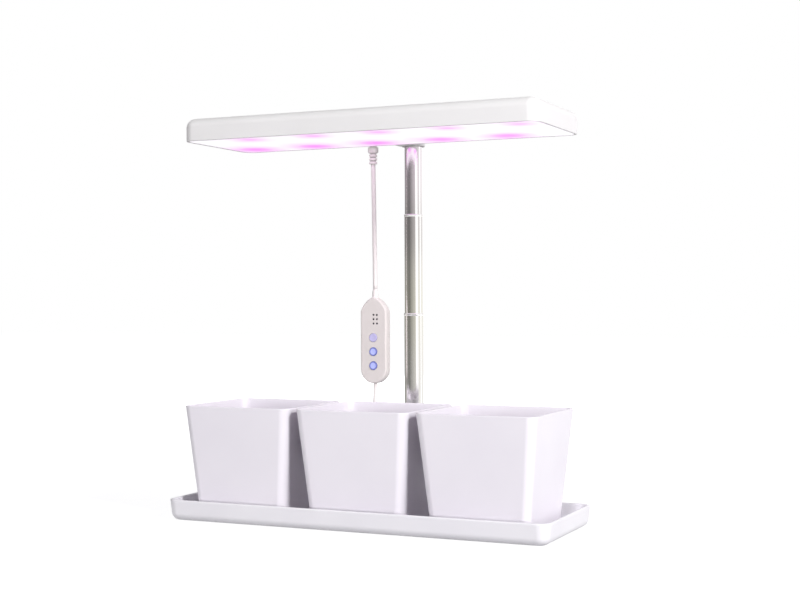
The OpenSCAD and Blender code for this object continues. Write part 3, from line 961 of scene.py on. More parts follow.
# painted shade: the dark grey of the socket's underside stands in for the shadow there
SOCKET_SHADE = Finish("socket_shade", (0.20, 0.18, 0.19), (0.17, 0.15, 0.16), 0.45)
BUTTON_PALE = Finish("button_pale", (0.54, 0.51, 0.78), (0.51, 0.48, 0.75), 0.35)
DARK_LENS = Finish("dark_lens", (0.015, 0.014, 0.018), (0.03, 0.028, 0.034), 0.2)
CIRCUIT = Finish("circuit_board", (0.02, 0.12, 0.05), (0.015, 0.09, 0.04), 0.35, 0.05, 900, 60)
LED_BOARD = Finish("led_board", (0.84, 0.84, 0.81), (0.78, 0.78, 0.75), 0.4, 0.05, 900, 40)
WHITE_LED = Finish("white_led", (0.85, 0.78, 0.42), (0.82, 0.72, 0.33), 0.25)
GROW_LED = Finish("grow_led", (0.65, 0.07, 0.60), (0.60, 0.05, 0.52), 0.25)
STEEL = Metal("polished_steel", (0.94, 0.93, 0.92), (0.88, 0.87, 0.86), 0.12, 0.03, 900,
              bump=0.000004)
SCREW_STEEL = Metal("screw_steel", (0.50, 0.50, 0.51), (0.42, 0.42, 0.43), 0.3, 0.06)
PLUG_METAL = Metal("plug_metal", (0.66, 0.66, 0.67), (0.58, 0.58, 0.59), 0.24, 0.05)


# ---------- the room ----------


@dataclass
class Studio:
    """The floor, the light and the camera, none of which belongs to the garden."""

    camera_at: Point = (0.56444, -1.17921, 0.20912)
    heading: float = 24.56
    tilt: float = -0.04
    roll: float = -0.23
    lens: float = 62.924
    sensor: float = 36.0
    far: float = 50.0
    ambient: Colour = (0.86, 0.84, 1.0)
    ambient_strength: float = 0.02
    floor_size: float = 12.0
    floor_gap: float = 0.0002
    floor_colour: Colour = (0.34, 0.34, 0.35)
    floor_fade: Step = (0.3, 1.0)
    floor_lift: Step = (0.86, 1.0)
    wall_middle: Step = (0.0, 0.089)
    wall_radius: float = 1.1
    wall_height: float = 0.66
    wall_strength: float = 1.25
    pale: Step = (0.6, 0.95)
    dark_cloth: tuple[Step, ...] = (
        (-175, 0.27), (-124, 0.15), (-72, 0.41), (-46, 0.50), (118, 0.30), (175, 0.26))
    strips: tuple[tuple[float, float, float], ...] = (
        (-40, -14, 1.0), (-11, 16, 0.7), (20, 34, 1.0), (38, 84, 0.75), (88, 112, 0.95))
    tints: tuple[tuple[float, Colour], ...] = (
        (0.08, (1.0, 0.98, 0.92)), (0.20, (1.0, 0.98, 0.83)), (0.278, (1.0, 0.97, 0.90)),
        (0.296, (0.74, 0.70, 0.68)), (0.36, (0.76, 0.71, 0.71)), (0.40, (1.0, 0.93, 0.97)),
        (0.45, (1.0, 0.88, 0.98)))
    aim: Point = (0, 0, 0.19)
    lights: tuple[tuple[str, Point, float, float], ...] = (
        ("key_right", (2.0, -0.9, 1.2), 0.4, 44.5),
        ("right_low", (2.3, 0.1, 0.4), 1.0, 19.5),
        ("front", (-0.05, -2.4, 0.3), 0.4, 31.0),
        ("front_high", (0.2, -1.6, 2.0), 0.6, 6.0),
        ("back_fill", (-0.9, 2.1, 0.9), 1.6, 33.0))

    def build(self) -> None:
        """Makes everything in the room."""
        self.camera()
        self.world()
        self.floor()
        self.flags()
        self.lamps()

    @staticmethod
    def stand(name: str, data: bpy.types.ID, at: Point, turn: Matrix | Quaternion) -> Object:
        """Stands a camera or a light in the room.

        Args:
            name: Its name.
            data: The camera or the light.
            at: Its place.
            turn: How it is turned.

        Returns:
            The object that holds it.
        """
        holder = bpy.data.objects.new(name, data)
        bpy.context.collection.objects.link(holder)
        holder.location = at
        holder.rotation_euler = turn.to_euler()
        return holder

    def camera(self) -> None:
        """Places the camera."""
        lens = bpy.data.cameras.new("camera")
        lens.lens, lens.sensor_width, lens.clip_end = self.lens, self.sensor, self.far
        turn = (Matrix.Rotation(math.radians(self.heading), 3, "Z")
                @ Matrix.Rotation(math.radians(90 + self.tilt), 3, "X")
                @ Matrix.Rotation(math.radians(self.roll), 3, "Z"))
        bpy.context.scene.camera = self.stand("camera", lens, self.camera_at, turn)

    @staticmethod
    def seen_directly(graph: Graph) -> NodeSocket:
        """Gives 1 on rays from the camera, and on reflected and refracted ones.

        Args:
            graph: The tree that the nodes go into.

        Returns:
            The result.
        """
        path = graph.add("ShaderNodeLightPath").outputs
        either = graph.maths("MAXIMUM", path["Is Camera Ray"], path["Is Glossy Ray"])
        return graph.maths("MAXIMUM", either, path["Is Transmission Ray"])

    def world(self) -> None:
        """Makes a world that looks white and lights softly."""
        scene = bpy.context.scene
        scene.view_settings.view_transform = "Standard"
        scene.world = bpy.data.worlds.new("world")
        scene.world.use_nodes = True
        graph = Graph(scene.world.node_tree)
        light = graph.add("ShaderNodeBackground", {"Color": rgba(self.ambient),
                                                   "Strength": self.ambient_strength})
        white = graph.add("ShaderNodeBackground", {"Color": rgba((1.0, 1.0, 1.0)),
                                                   "Strength": 1.0})
        feeds = {0: self.seen_directly(graph), 1: light.outputs[0], 2: white.outputs[0]}
        graph.show(graph.add("ShaderNodeMixShader", feeds), "ShaderNodeOutputWorld")

    def floor(self) -> None:
        """Makes a pale floor that looks white and keeps the garden's shadow."""
        floor = primitive("floor", bpy.ops.mesh.primitive_plane_add, size=self.floor_size,
                          location=(0, 0, -self.floor_gap))
        material, graph = new_material("floor")
        away = graph.vector("LENGTH", graph.place())
        lift = graph.span(away, *self.floor_fade, *self.floor_lift, kind="SMOOTHSTEP")
        matte = graph.add("ShaderNodeBsdfDiffuse", {"Color": rgba(self.floor_colour)})
        shine = graph.add("ShaderNodeEmission", {
            "Strength": graph.maths("MULTIPLY", self.seen_directly(graph), lift)})
        graph.show(graph.add("ShaderNodeAddShader", {0: matte.outputs[0], 1: shine.outputs[0]}))
        floor.data.materials.append(material)

    def flags(self) -> None:
        """Makes the round wall of dark and pale panels that only the shiny parts mirror."""
        x, y = self.wall_middle
        wall = primitive("flags", bpy.ops.mesh.primitive_cylinder_add, vertices=96,
                         radius=self.wall_radius, depth=self.wall_height,
                         end_fill_type="NOTHING", location=(x, y, self.wall_height / 2))
        material, graph = new_material("flags")
        place = graph.axes(graph.place())
        turn = graph.maths("ARCTAN2", graph.maths("SUBTRACT", place["Y"], y),
                           graph.maths("SUBTRACT", place["X"], x))
        edges = [(edge, grey) for *ends, grey in self.strips for edge in ends]
        panels = graph.ramp(graph.span(turn, -math.pi, math.pi), [
            ((angle + 180) / 360, (grey,) * 3) for angle, grey in (*self.dark_cloth, *edges)])
        height = graph.maths("DIVIDE", place["Z"], self.wall_height)
        tints = graph.ramp(height, [(z / self.wall_height, tint) for z, tint in self.tints])
        dark = graph.span(panels, *self.pale, 1.0, 0.0)
        tinted = graph.blend(dark, panels, tints, "MULTIPLY")
        graph.show(graph.add("ShaderNodeEmission", {"Color": tinted,
                                                    "Strength": self.wall_strength}))
        wall.data.materials.append(material)
        wall.visible_camera = wall.visible_diffuse = wall.visible_shadow = False
        wall.visible_transmission = False

    def lamps(self) -> None:
        """Makes the soft lights round the garden."""
        for name, at, size, power in self.lights:
            light = bpy.data.lights.new(name, "AREA")
            light.shape, light.size, light.energy = "SQUARE", size, power
            turn = (Vector(self.aim) - Vector(at)).to_track_quat("-Z", "Y")
            holder = self.stand(name, light, at, turn)
            holder.visible_camera = holder.visible_glossy = False


# ---------- cords ----------


def smooth_path(points: Sequence[Point], steps: int) -> list[Vector]:
    """Runs one smooth line through a cord's points.

    Args:
        points: The points, in order.
        steps: How many short stretches lie between two points.

    Returns:
        The line's points.
    """
    knots = [Vector(p) for p in points]
    knots = [2 * knots[0] - knots[1], *knots, 2 * knots[-1] - knots[-2]]
    line = []
    for a, b, c, d in zip(knots, knots[1:], knots[2:], knots[3:]):
        for i in range(steps):
            t = i / steps
            line.append(0.5 * (2 * b + (c - a) * t + (2 * a - 5 * b + 4 * c - d) * t * t
                               + (3 * b - 3 * c + d - a) * t ** 3))
    return [*line, knots[-2]]


def cord_tube(name: str, path: Sequence[Vector], diameter: float) -> Object:
    """Makes a closed round tube along a line.

    Args:
        name: The piece's name.
        path: The points of its centre line.
        diameter: Its thickness.

    Returns:
        The tube as a mesh.
    """
    line = bpy.data.curves.new(name, "CURVE")
    line.dimensions = "3D"
    spline = line.splines.new("POLY")
    spline.points.add(len(path) - 1)
    for point, place in zip(spline.points, path):
        point.co = (*place, 1)
    line.bevel_depth = diameter / 2
    line.bevel_resolution = 4
    line.use_fill_caps = True
    piece = bpy.data.objects.new(name, line)
    bpy.context.collection.objects.link(piece)
    alone(piece)
    bpy.ops.object.convert(target="MESH")
    piece = bpy.context.object
    with editing(piece):
        face_outwards()
    alone(piece)
    bpy.ops.object.shade_smooth()
    return piece


def run_length(path: Sequence[Vector]) -> float:
    """Measures a line from end to end."""
    return sum((b - a).length for a, b in zip(path, path[1:]))


@dataclass
class Plug:
    """The lead's plug: a moulded body and a metal shell with a tongue inside."""

    neck: float = 0.009
    corner: float = 0.0008
    grip_round: float = 0.0024
    wall: float = 0.0004
    shell_corner: float = 0.0003
    inner_corner: float = 0.0002
    window: Step = (0.002, 0.0023)
    window_at: Step = (0.0075, 0.0029)
    tongue: Step = (0.0104, 0.0018)
    tongue_end: float = 0.0008
    end_gap: float = 0.001
    collar: tuple[Step, ...] = ((0.0038, -0.001), (0.0034, 0.003), (0.0026, 0.006))
    lead_radius: float = 0.00215

    def moulding(self) -> Object:
        """Models the body and the neck that the lead enters.

        Returns:
            The body.
        """
        low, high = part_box("plug_body")
        middle, neck = (low + high) / 2, self.neck
        body = rounded_block("plug_moulding", low, (high.x - neck, high.y, high.z), self.corner)
        with editing(body):
            round_edges(body, lambda e: abs(e.verts[0].co.x - e.verts[1].co.x) > 0.01,
                        self.grip_round, 5)
        collar = [(0, -self.end_gap), *self.collar, (self.lead_radius, neck), (0, neck)]
        cut(body, turned("neck", collar, (high.x - neck, middle.y, middle.z), (1, 0, 0), 32),
            Cut.TOGETHER)
        return body

    def build(self) -> list[Object]:
        """Makes the plug's three pieces.

        Returns:
            The pieces.
        """
        low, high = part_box("plug_body")
        middle = (low + high) / 2
        body = self.moulding()
        low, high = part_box("plug_shell")
        wall, gap, corner = self.wall, self.end_gap, self.inner_corner
        shell = rounded_block("plug_metal_shell", low, high, self.shell_corner)
        hollow = rounded_block("hollow", (low.x - gap, low.y + wall, low.z + wall),
                               (high.x - gap, high.y - wall, high.z - wall), corner)
        cut(shell, hollow, Cut.AWAY)
        along, aside = self.window_at
        cut(shell, centred_block(*self.window, -PAST, PAST, corner), Cut.AWAY,
            [(low.x + along, middle.y + side * aside, middle.z) for side in (-1, 1)])
        width, thick = self.tongue
        tongue = rounded_block(
            "plug_tongue", (low.x + self.tongue_end, middle.y - width / 2, middle.z),
            (high.x - self.tongue_end, middle.y + width / 2, middle.z + thick), corner, corner)
        PLUG_METAL.dress(shell)
        CORD_PLASTIC.dress(body, tongue)
        for piece, slot, *nodes in ((body, "plug_plastic", "plug_body"),
                                    (shell, "plug_metal", "plug_shell"),
                                    (tongue, "plug_plastic")):
            smooth(piece)
            fit(piece, Body.BASE, slot, *nodes)
        return [body, shell, tongue]


@dataclass
class SupplyLead:
    """The thin lead that hangs from the controller, lies in a coil and ends in a plug.

    The hanging stretch is parted where the pole's middle tube would carry it.
    """

    diameter: float = 0.0035
    top: Point = (-0.0367, 0.077, 0.1255)
    parting: Point = (-0.038, 0.077, 0.0778)
    foot: Point = (-0.038, 0.077, 0.024)
    coil_middle: Step = (-0.084, 0.1)
    coil_outer: float = 0.027
    coil_inner: float = 0.013
    coil_low: float = 0.00235
    points_a_turn: int = 40
    climb_start: float = 0.25
    climb_turns: float = 0.5
    tie_thickness: float = 0.0006

    def coil(self) -> list[Point]:
        """Winds the coil: one flat spiral inwards, a climb and one outwards on top of it.

        Returns:
            The points of its centre line.
        """
        layer_turns = round((self.coil_outer - self.coil_inner) / self.diameter)
        turns = 2 * layer_turns + 1
        points = []
        for i in range(turns * self.points_a_turn + 1):
            turn = i / self.points_a_turn
            inwards = min(turn, layer_turns, turns - turn)
            radius = self.coil_outer - inwards * self.diameter
            climb = (turn - layer_turns - self.climb_start) / self.climb_turns
            climb = min(max(climb, 0.0), 1.0)
            height = self.coil_low + self.diameter * climb * climb * (3 - 2 * climb)
            angle = math.radians(-90) - 2 * math.pi * turn
            points.append((self.coil_middle[0] + radius * math.cos(angle),
                           self.coil_middle[1] + radius * math.sin(angle), height))
        return points

    def build(self) -> None:
        """Makes both parts of the lead, the plug and the tie."""
        x, y, _ = self.parting
        upper = smooth_path([self.top, (-0.037, y, 0.116), (-0.0376, y, 0.106), (x, y, 0.096),
                             (x, y, 0.086), self.parting], 4)
        down = [self.parting, *((x, y, z) for z in (0.064, 0.053, 0.042, 0.031, 0.022, 0.019))]
        run = [(-0.0393, 0.0767, 0.0126), (-0.0429, 0.0760, 0.0073), (-0.0482, 0.0750, 0.0038),
               (-0.0546, 0.0742, 0.0024), (-0.064, 0.0734, 0.0024), (-0.074, 0.073, 0.0024)]
        tail = [(-0.094, 0.0731, 0.0056), (-0.103, 0.0739, 0.0048), (-0.111, 0.0751, 0.0042),
                (-0.118, 0.076, 0.004)]
        coil = self.coil()
        lower = (smooth_path([*down, *run, coil[0]], 4)[:-1] + [Vector(p) for p in coil]
                 + smooth_path([coil[-1], *tail], 4)[1:])
        hanging = cord_tube("lead_hanging", upper, self.diameter)
        lying = cord_tube("lead_lying", lower, self.diameter)
        CORD_PLASTIC.dress(hanging, lying)
        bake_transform(hanging)
        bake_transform(lying)
        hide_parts("lead_drop", "lead_run", "lead_coil", "lead_tail")
        plug = Plug().build()
        log.info("supply lead: %.3f m hanging and %.3f m lying", run_length(upper),
                 run_length(lower))
        self.tie()

    def tie(self) -> None:
        """Makes the band round the coil, bent with it."""
        low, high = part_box("coil_tie")
        thick = self.tie_thickness
        middle = Vector((*self.coil_middle, self.coil_low + self.diameter / 2))
        reach = self.coil_outer + self.diameter / 2 + thick
        half = math.asin((high.y - low.y) / 2 / reach)
        width = 2 * reach - self.coil_outer - self.coil_inner
        depth = 2 * (self.diameter + thick)
        outward = Vector((-math.cos(half), math.sin(half), 0))
        band = rounded_plate("coil_tie_band", width, depth, self.diameter / 2 + thick,
                             (0, 0, 0), 6)
        with editing(band):
            inset_steps([(thick, 0.0)])
            bpy.ops.mesh.delete(type="FACE")
            bpy.ops.mesh.select_all(action="SELECT")
            for angle, axis in ((math.pi / 2, "X"), (half - math.pi, "Z")):
                bpy.ops.transform.rotate(value=angle, orient_axis=axis,
                                         center_override=(0, 0, 0))
            bpy.ops.transform.translate(value=middle + outward * (reach - width / 2))
            bpy.ops.mesh.spin(steps=10, angle=-2 * half, center=middle, axis=(0, 0, 1))
            face_outwards()
        complete(band, CORD_PLASTIC, Body.BASE, "tie", "coil_tie")


@dataclass
class LampCord:
    """The cord from the lamp to the controller, with its strain relief and gland."""

    diameter: float = 0.0044
    neck: float = 0.0037
    ring: float = 0.0040
    groove: float = 0.0027
    collar_height: float = 0.006
    gap: float = 0.0012
    edge: float = 0.0004
    collar_soft: Step = (0.0016, 0.0007)
    ring_count: int = 3
    gland_tip: float = 0.0006
    gland_collar: float = 0.0044

    def build(self) -> None:
        """Makes the cord, the strain relief and the gland."""
        route = [(-0.0384, 0.077, 0.3435), (-0.038, 0.077, 0.32), (-0.0376, 0.077, 0.295),
                 (-0.0373, 0.077, 0.27), (-0.0369, 0.077, 0.245), (-0.0367, 0.077, 0.2189)]
        path = smooth_path(route, 6)
        cord = cord_tube("lamp_cord", path, self.diameter)
        CORD_PLASTIC.dress(cord)
        fit(cord, Body.LAMP, "cord_rubber", "upper_cord")
        self.strain_relief()
        self.gland()

    def strain_relief(self) -> None:
        """Turns the strain relief: a collar and three rings with grooves between them, the grooves
        painted darker as shade.
        """
        low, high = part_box("strain_relief")
        at = ((low.x + high.x) / 2, (low.y + high.y) / 2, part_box("lamp_casing")[0].z)
        collar = (high.x - low.x) / 2
        reach, top = at[2] - low.z, high.z - at[2]
        e, foot = self.edge, self.collar_height
        outer, inner = self.collar_soft
        profile: list[Step] = [(0, top), (self.neck, top), (self.neck, 0), (collar - e, 0),
                               (collar, -e), (collar, outer - foot), (collar - e, inner - foot),
                               (self.neck, -foot)]
        pitch = (reach - foot) / self.ring_count
        for i in range(self.ring_count):
            z = -foot - i * pitch
            ring = z - self.gap
            profile += [(self.groove, z), (self.groove, ring), (self.ring - e, ring),
                        (self.ring, ring - e), (self.ring, z - pitch + e),
                        (self.ring - e, z - pitch)]
        profile.append((0, -reach))
        relief = turned("cord_strain_relief", profile, at)
        complete(relief, CORD_PLASTIC, Body.LAMP, "cord_rubber", "strain_relief")
        middle = Vector(at[:2])
        # Painted shade: the grooves get a darker finish that stands in for their shadow.
        GROOVE_SHADE.paint(relief, lambda face: all(
            vert.co.z < at[2] - foot + HAIR
            and (vert.co.xy - middle).length < self.groove + HAIR for vert in face.verts))

    def gland(self) -> None:
        """Turns the gland where the cord enters the controller."""
        low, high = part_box("controller_gland")
        middle = ((low.x + high.x) / 2, (low.y + high.y) / 2, 0)
        radius, e = (high.x - low.x) / 2, self.edge
        tip, shoulder = radius - self.gland_tip, high.z - self.gland_collar
        profile = [(0, low.z), (radius, low.z), (radius, shoulder),
                   (radius - e / 2, shoulder + 2 * e), (tip, high.z - e),
                   (tip - 0.0003, high.z), (0, high.z)]
        complete(turned("cord_gland", profile, middle), CORD_PLASTIC, Body.LAMP,
                 "cord_rubber", "controller_gland")


# ---------- the rigid parts ----------


@dataclass
class Pot:
    """One square pot: a tapering bucket with a foot ring, drain holes and notches."""

    node: str
    base: float = 0.0929
    foot_corner: float = 0.0075
    wall: float = 0.0022
    floor_rise: float = 0.003
    floor: float = 0.0024
    foot_ring: float = 0.004
    notch_width: float = 0.016
    notch_corner: float = 0.002
    drain_radius: float = 0.003
    drain_reach: float = 0.022
    rim_round: float = 0.0009
    floor_round: float = 0.003
    foot_round: float = 0.0006

    def build(self) -> None:
        """Models the pot."""
        low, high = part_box(self.node)
        middle = (low + high) / 2
        top, height = high.x - low.x, high.z - low.z
        floor_z = low.z + self.floor_rise + self.floor
        pot = rounded_plate(f"{self.node}_moulding", self.base, self.base, self.foot_corner,
                            (middle.x, middle.y, low.z))
        with editing(pot):
            extrude((0, 0, height))
            spread = top / self.base
            resize((spread, spread, 1), (middle.x, middle.y, high.z))
            inset_steps([(self.wall, 0.0)])
            extrude((0, 0, floor_z - high.z))
            lower_width = self.base + (top - self.base) * (floor_z - low.z) / height
            shrink = (lower_width - 2 * self.wall) / (top - 2 * self.wall)
            resize((shrink, shrink, 1), (middle.x, middle.y, floor_z))
            lid(pot, level(low.z))
            inset_steps([(self.foot_ring, 0.0), (0.0, -self.floor_rise)])
            round_edges(pot, rim(high.z), self.rim_round)
            round_edges(pot, rim(floor_z), self.floor_round)
            round_edges(pot, rim(low.z), self.foot_round, 2)
        for size in ((self.notch_width, top), (top, self.notch_width)):
            notch = centred_block(*size, -PAST, self.floor_rise / 2, self.notch_corner)
            cut(pot, notch, Cut.AWAY, [(middle.x, middle.y, low.z)])
        reach = self.drain_reach
        holes = [(middle.x + x * reach, middle.y + y * reach, floor_z)
                 for x, y in ((0, 0), (1, 1), (1, -1), (-1, 1), (-1, -1))]
        cut(pot, rod(self.drain_radius, 2 * PAST, sides=32), Cut.AWAY, holes)
        complete(pot, POT_PLASTIC, self.node, "pot_plastic", self.node)


@dataclass
class Tray:
    """The drip tray: a shallow basin with a leaning wall, pads, a ribbed underside and
    the boss that the pole stands in."""

    height: float = 0.0199
    depth: float = 0.129
    wall: float = 0.003
    floor: float = 0.003
    corner: float = 0.012
    fillet: float = 0.008
    inner_fillet: float = 0.005
    fillet_steps: int = 8
    lean: float = 0.0024
    pad: Step = (0.014, 0.001)
    pad_corner: float = 0.002
    pot_pitch: float = 0.12
    pot_base: float = 0.0929
    pole: Step = (0.0, 0.089)
    boss: Step = (0.0136, 0.046)
    boss_flare: float = 0.0034
    boss_draft: float = 0.0001
    lug_height: float = 0.008
    lug_corner: float = 0.0005
    lug_soft: float = 0.0004
    web: float = 0.003
    web_reach: float = 0.7
    web_height: float = 0.8
    pole_foot: float = 0.007
    bore: float = 0.0096
    screw_recess: Step = (0.0053, 0.0032)
    screw_hole: float = 0.00275
    cut_past: Step = (0.001, 0.014)
    rib: float = 0.005
    pocket: float = 0.001
    pocket_corner: float = 0.003
    pocket_columns: int = 6

    def wall_steps(self, height: float, fillet: float) -> list[Step]:
        """Works out the inset steps down the leaning wall and round the fillet at its foot.

        Args:
            height: The wall's height.
            fillet: The fillet's radius.

        Returns:
            The steps, for inset_steps.
        """
        tilt = math.atan(self.lean / self.height)
        reach = (height - fillet) * math.tan(tilt) + fillet / math.cos(tilt)
        turns = [tilt + (math.pi / 2 - tilt) * i / self.fillet_steps
                 for i in range(self.fillet_steps + 1)]
        spots = [(reach - fillet * math.cos(a), height - fillet + fillet * math.sin(a))
                 for a in turns]
        return between([(0.0, 0.0), *spots])

    def basin(self) -> Object:
        """Sweeps the wall round the tray, from the rim to the floor and to the underside.

        Returns:
            The basin.
        """
        low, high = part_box("tray")
        brim = self.height - self.wall / 2
        basin = rounded_plate("tray_moulding", high.x - low.x, self.depth, self.corner,
                              (0, 0, brim), 14)
        with editing(basin):
            inset_steps(arc_steps(self.wall / 2, 180, 8))
            inside = self.wall_steps(brim - self.floor, self.inner_fillet)
            inset_steps([(inwards, -down) for inwards, down in inside])
            lid(basin, level(brim))
            inset_steps(self.wall_steps(brim, self.fillet))
        return basin

    def boss_shape(self) -> Object:
        """Makes the boss, its lug and the webs that tie it to the wall.

        Returns:
            The boss, closed.
        """
        radius, top = self.boss
        foot = radius + self.boss_flare
        x, y = self.pole
        boss = turned("boss", [(0, 0), (foot, 0), (radius + self.boss_draft, top - SOFT),
                               *soft_top(radius, top)], (x, y, 0))
        edge = self.depth / 2 - self.wall
        floor_edge = self.depth / 2 - self.fillet - self.lean
        for start, height, soft in ((edge, self.lug_height, self.lug_soft),
                                    (floor_edge, self.floor, 0)):
            cut(boss, rounded_block("lug", (-foot, start, 0), (foot, y, height),
                                    self.lug_corner, soft), Cut.TOGETHER)
        brim, low = self.height - self.wall / 2 - SOFT, self.floor / 2
        high, reach = top * self.web_height, radius * self.web_reach
        for side in (-1, 1):
            start = side * radius * self.web_reach - self.web / 2
            outline = [(start, edge, low), (start, y, low), (start, y, high),
                       (start, y - reach, high), (start, edge, brim)]
            cut(boss, drawn_block("web", outline, (self.web, 0, 0)), Cut.TOGETHER)
        return boss

    def cut_pockets(self, tray: Object) -> None:
        """Cuts the shallow pockets into the tray's underside.

        Args:
            tray: The tray.
        """
        low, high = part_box("tray")
        margin, rib, columns = 2 * (self.fillet + self.lean), self.rib, self.pocket_columns
        width = (high.x - low.x - margin - rib) / columns - rib
        depth = (self.depth - margin - rib) / 2 - rib
        cell = centred_block(width, depth, -self.pocket, self.pocket, self.pocket_corner)
        cut(tray, cell, Cut.AWAY,
            [((i - (columns - 1) / 2) * (width + rib), y * (depth + rib) / 2, 0)
             for i in range(columns) for y in (-1, 1)])

    def build(self) -> None:
        """Models the tray."""
        tray = self.basin()
        size, rise = self.pad
        reach = (self.pot_base - size) / 2
        places = [(i * self.pot_pitch + x * reach, y * reach, self.floor)
                  for i in (-1, 0, 1) for x in (-1, 1) for y in (-1, 1)]
        cut(tray, centred_block(size, size, -rise, rise, self.pad_corner), Cut.TOGETHER, places)
        cut(tray, self.boss_shape(), Cut.TOGETHER)
        recess, hole, foot = self.screw_recess, self.screw_hole, self.pole_foot
        under, over = -self.cut_past[0], self.boss[1] + self.cut_past[1]
        bores = [(0, under), (recess[0], under), recess, (hole, recess[1]), (hole, foot),
                 (self.bore, foot), (self.bore, over), (0, over)]
        cut(tray, turned("bores", bores, (*self.pole, 0)), Cut.AWAY)
        self.cut_pockets(tray)
        complete(tray, TRAY_PLASTIC, Body.BASE, "tray_plastic", "tray")


@dataclass
class Tube:
    """One steel tube of the pole, with or without a lip rolled at its mouth.

    Attributes:
        node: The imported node.
        body: The body that it rides on.
        lip: Whether it has a lip.
        wall: Its wall.
        lip_height: How tall the lip is.
        lip_out: How far the lip stands out.
        plain_soft: How far in and down the edge of a plain mouth is softened.
        lip_bends: The lip's outline, as shares of how far it stands out and of its height.
    """

    node: str
    body: Body
    lip: bool = True
    wall: float = 0.0004
    lip_height: float = 0.0022
    lip_out: float = 0.00035
    plain_soft: Step = (0.0001, 0.0002)
    lip_bends: tuple[Step, ...] = (
        (0, 1), (0.4, 0.88), (0.9, 0.7), (1, 0.5), (0.9, 0.28), (0.4, 0.08), (0, 0))

    def build(self) -> None:
        """Turns the tube."""
        low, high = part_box(self.node)
        middle = (low + high) / 2
        radius = (high.x - low.x) / 2 - (self.lip_out if self.lip else 0)
        inner, top = radius - self.wall, high.z
        inwards, down = self.plain_soft
        mouth: list[Step] = [(radius, top - down), (radius - inwards, top)]
        if self.lip:
            mouth = [(radius, top - self.lip_height - self.wall)]
            mouth += [(radius + self.lip_out * out, top - self.lip_height * down)
                      for out, down in self.lip_bends]
        tube = turned(f"{self.node}_steel", [(inner, low.z), (radius, low.z), *mouth,
                                             (inner, top)], (middle.x, middle.y, 0), steps=96)
        complete(tube, STEEL, self.body, "steel", self.node)


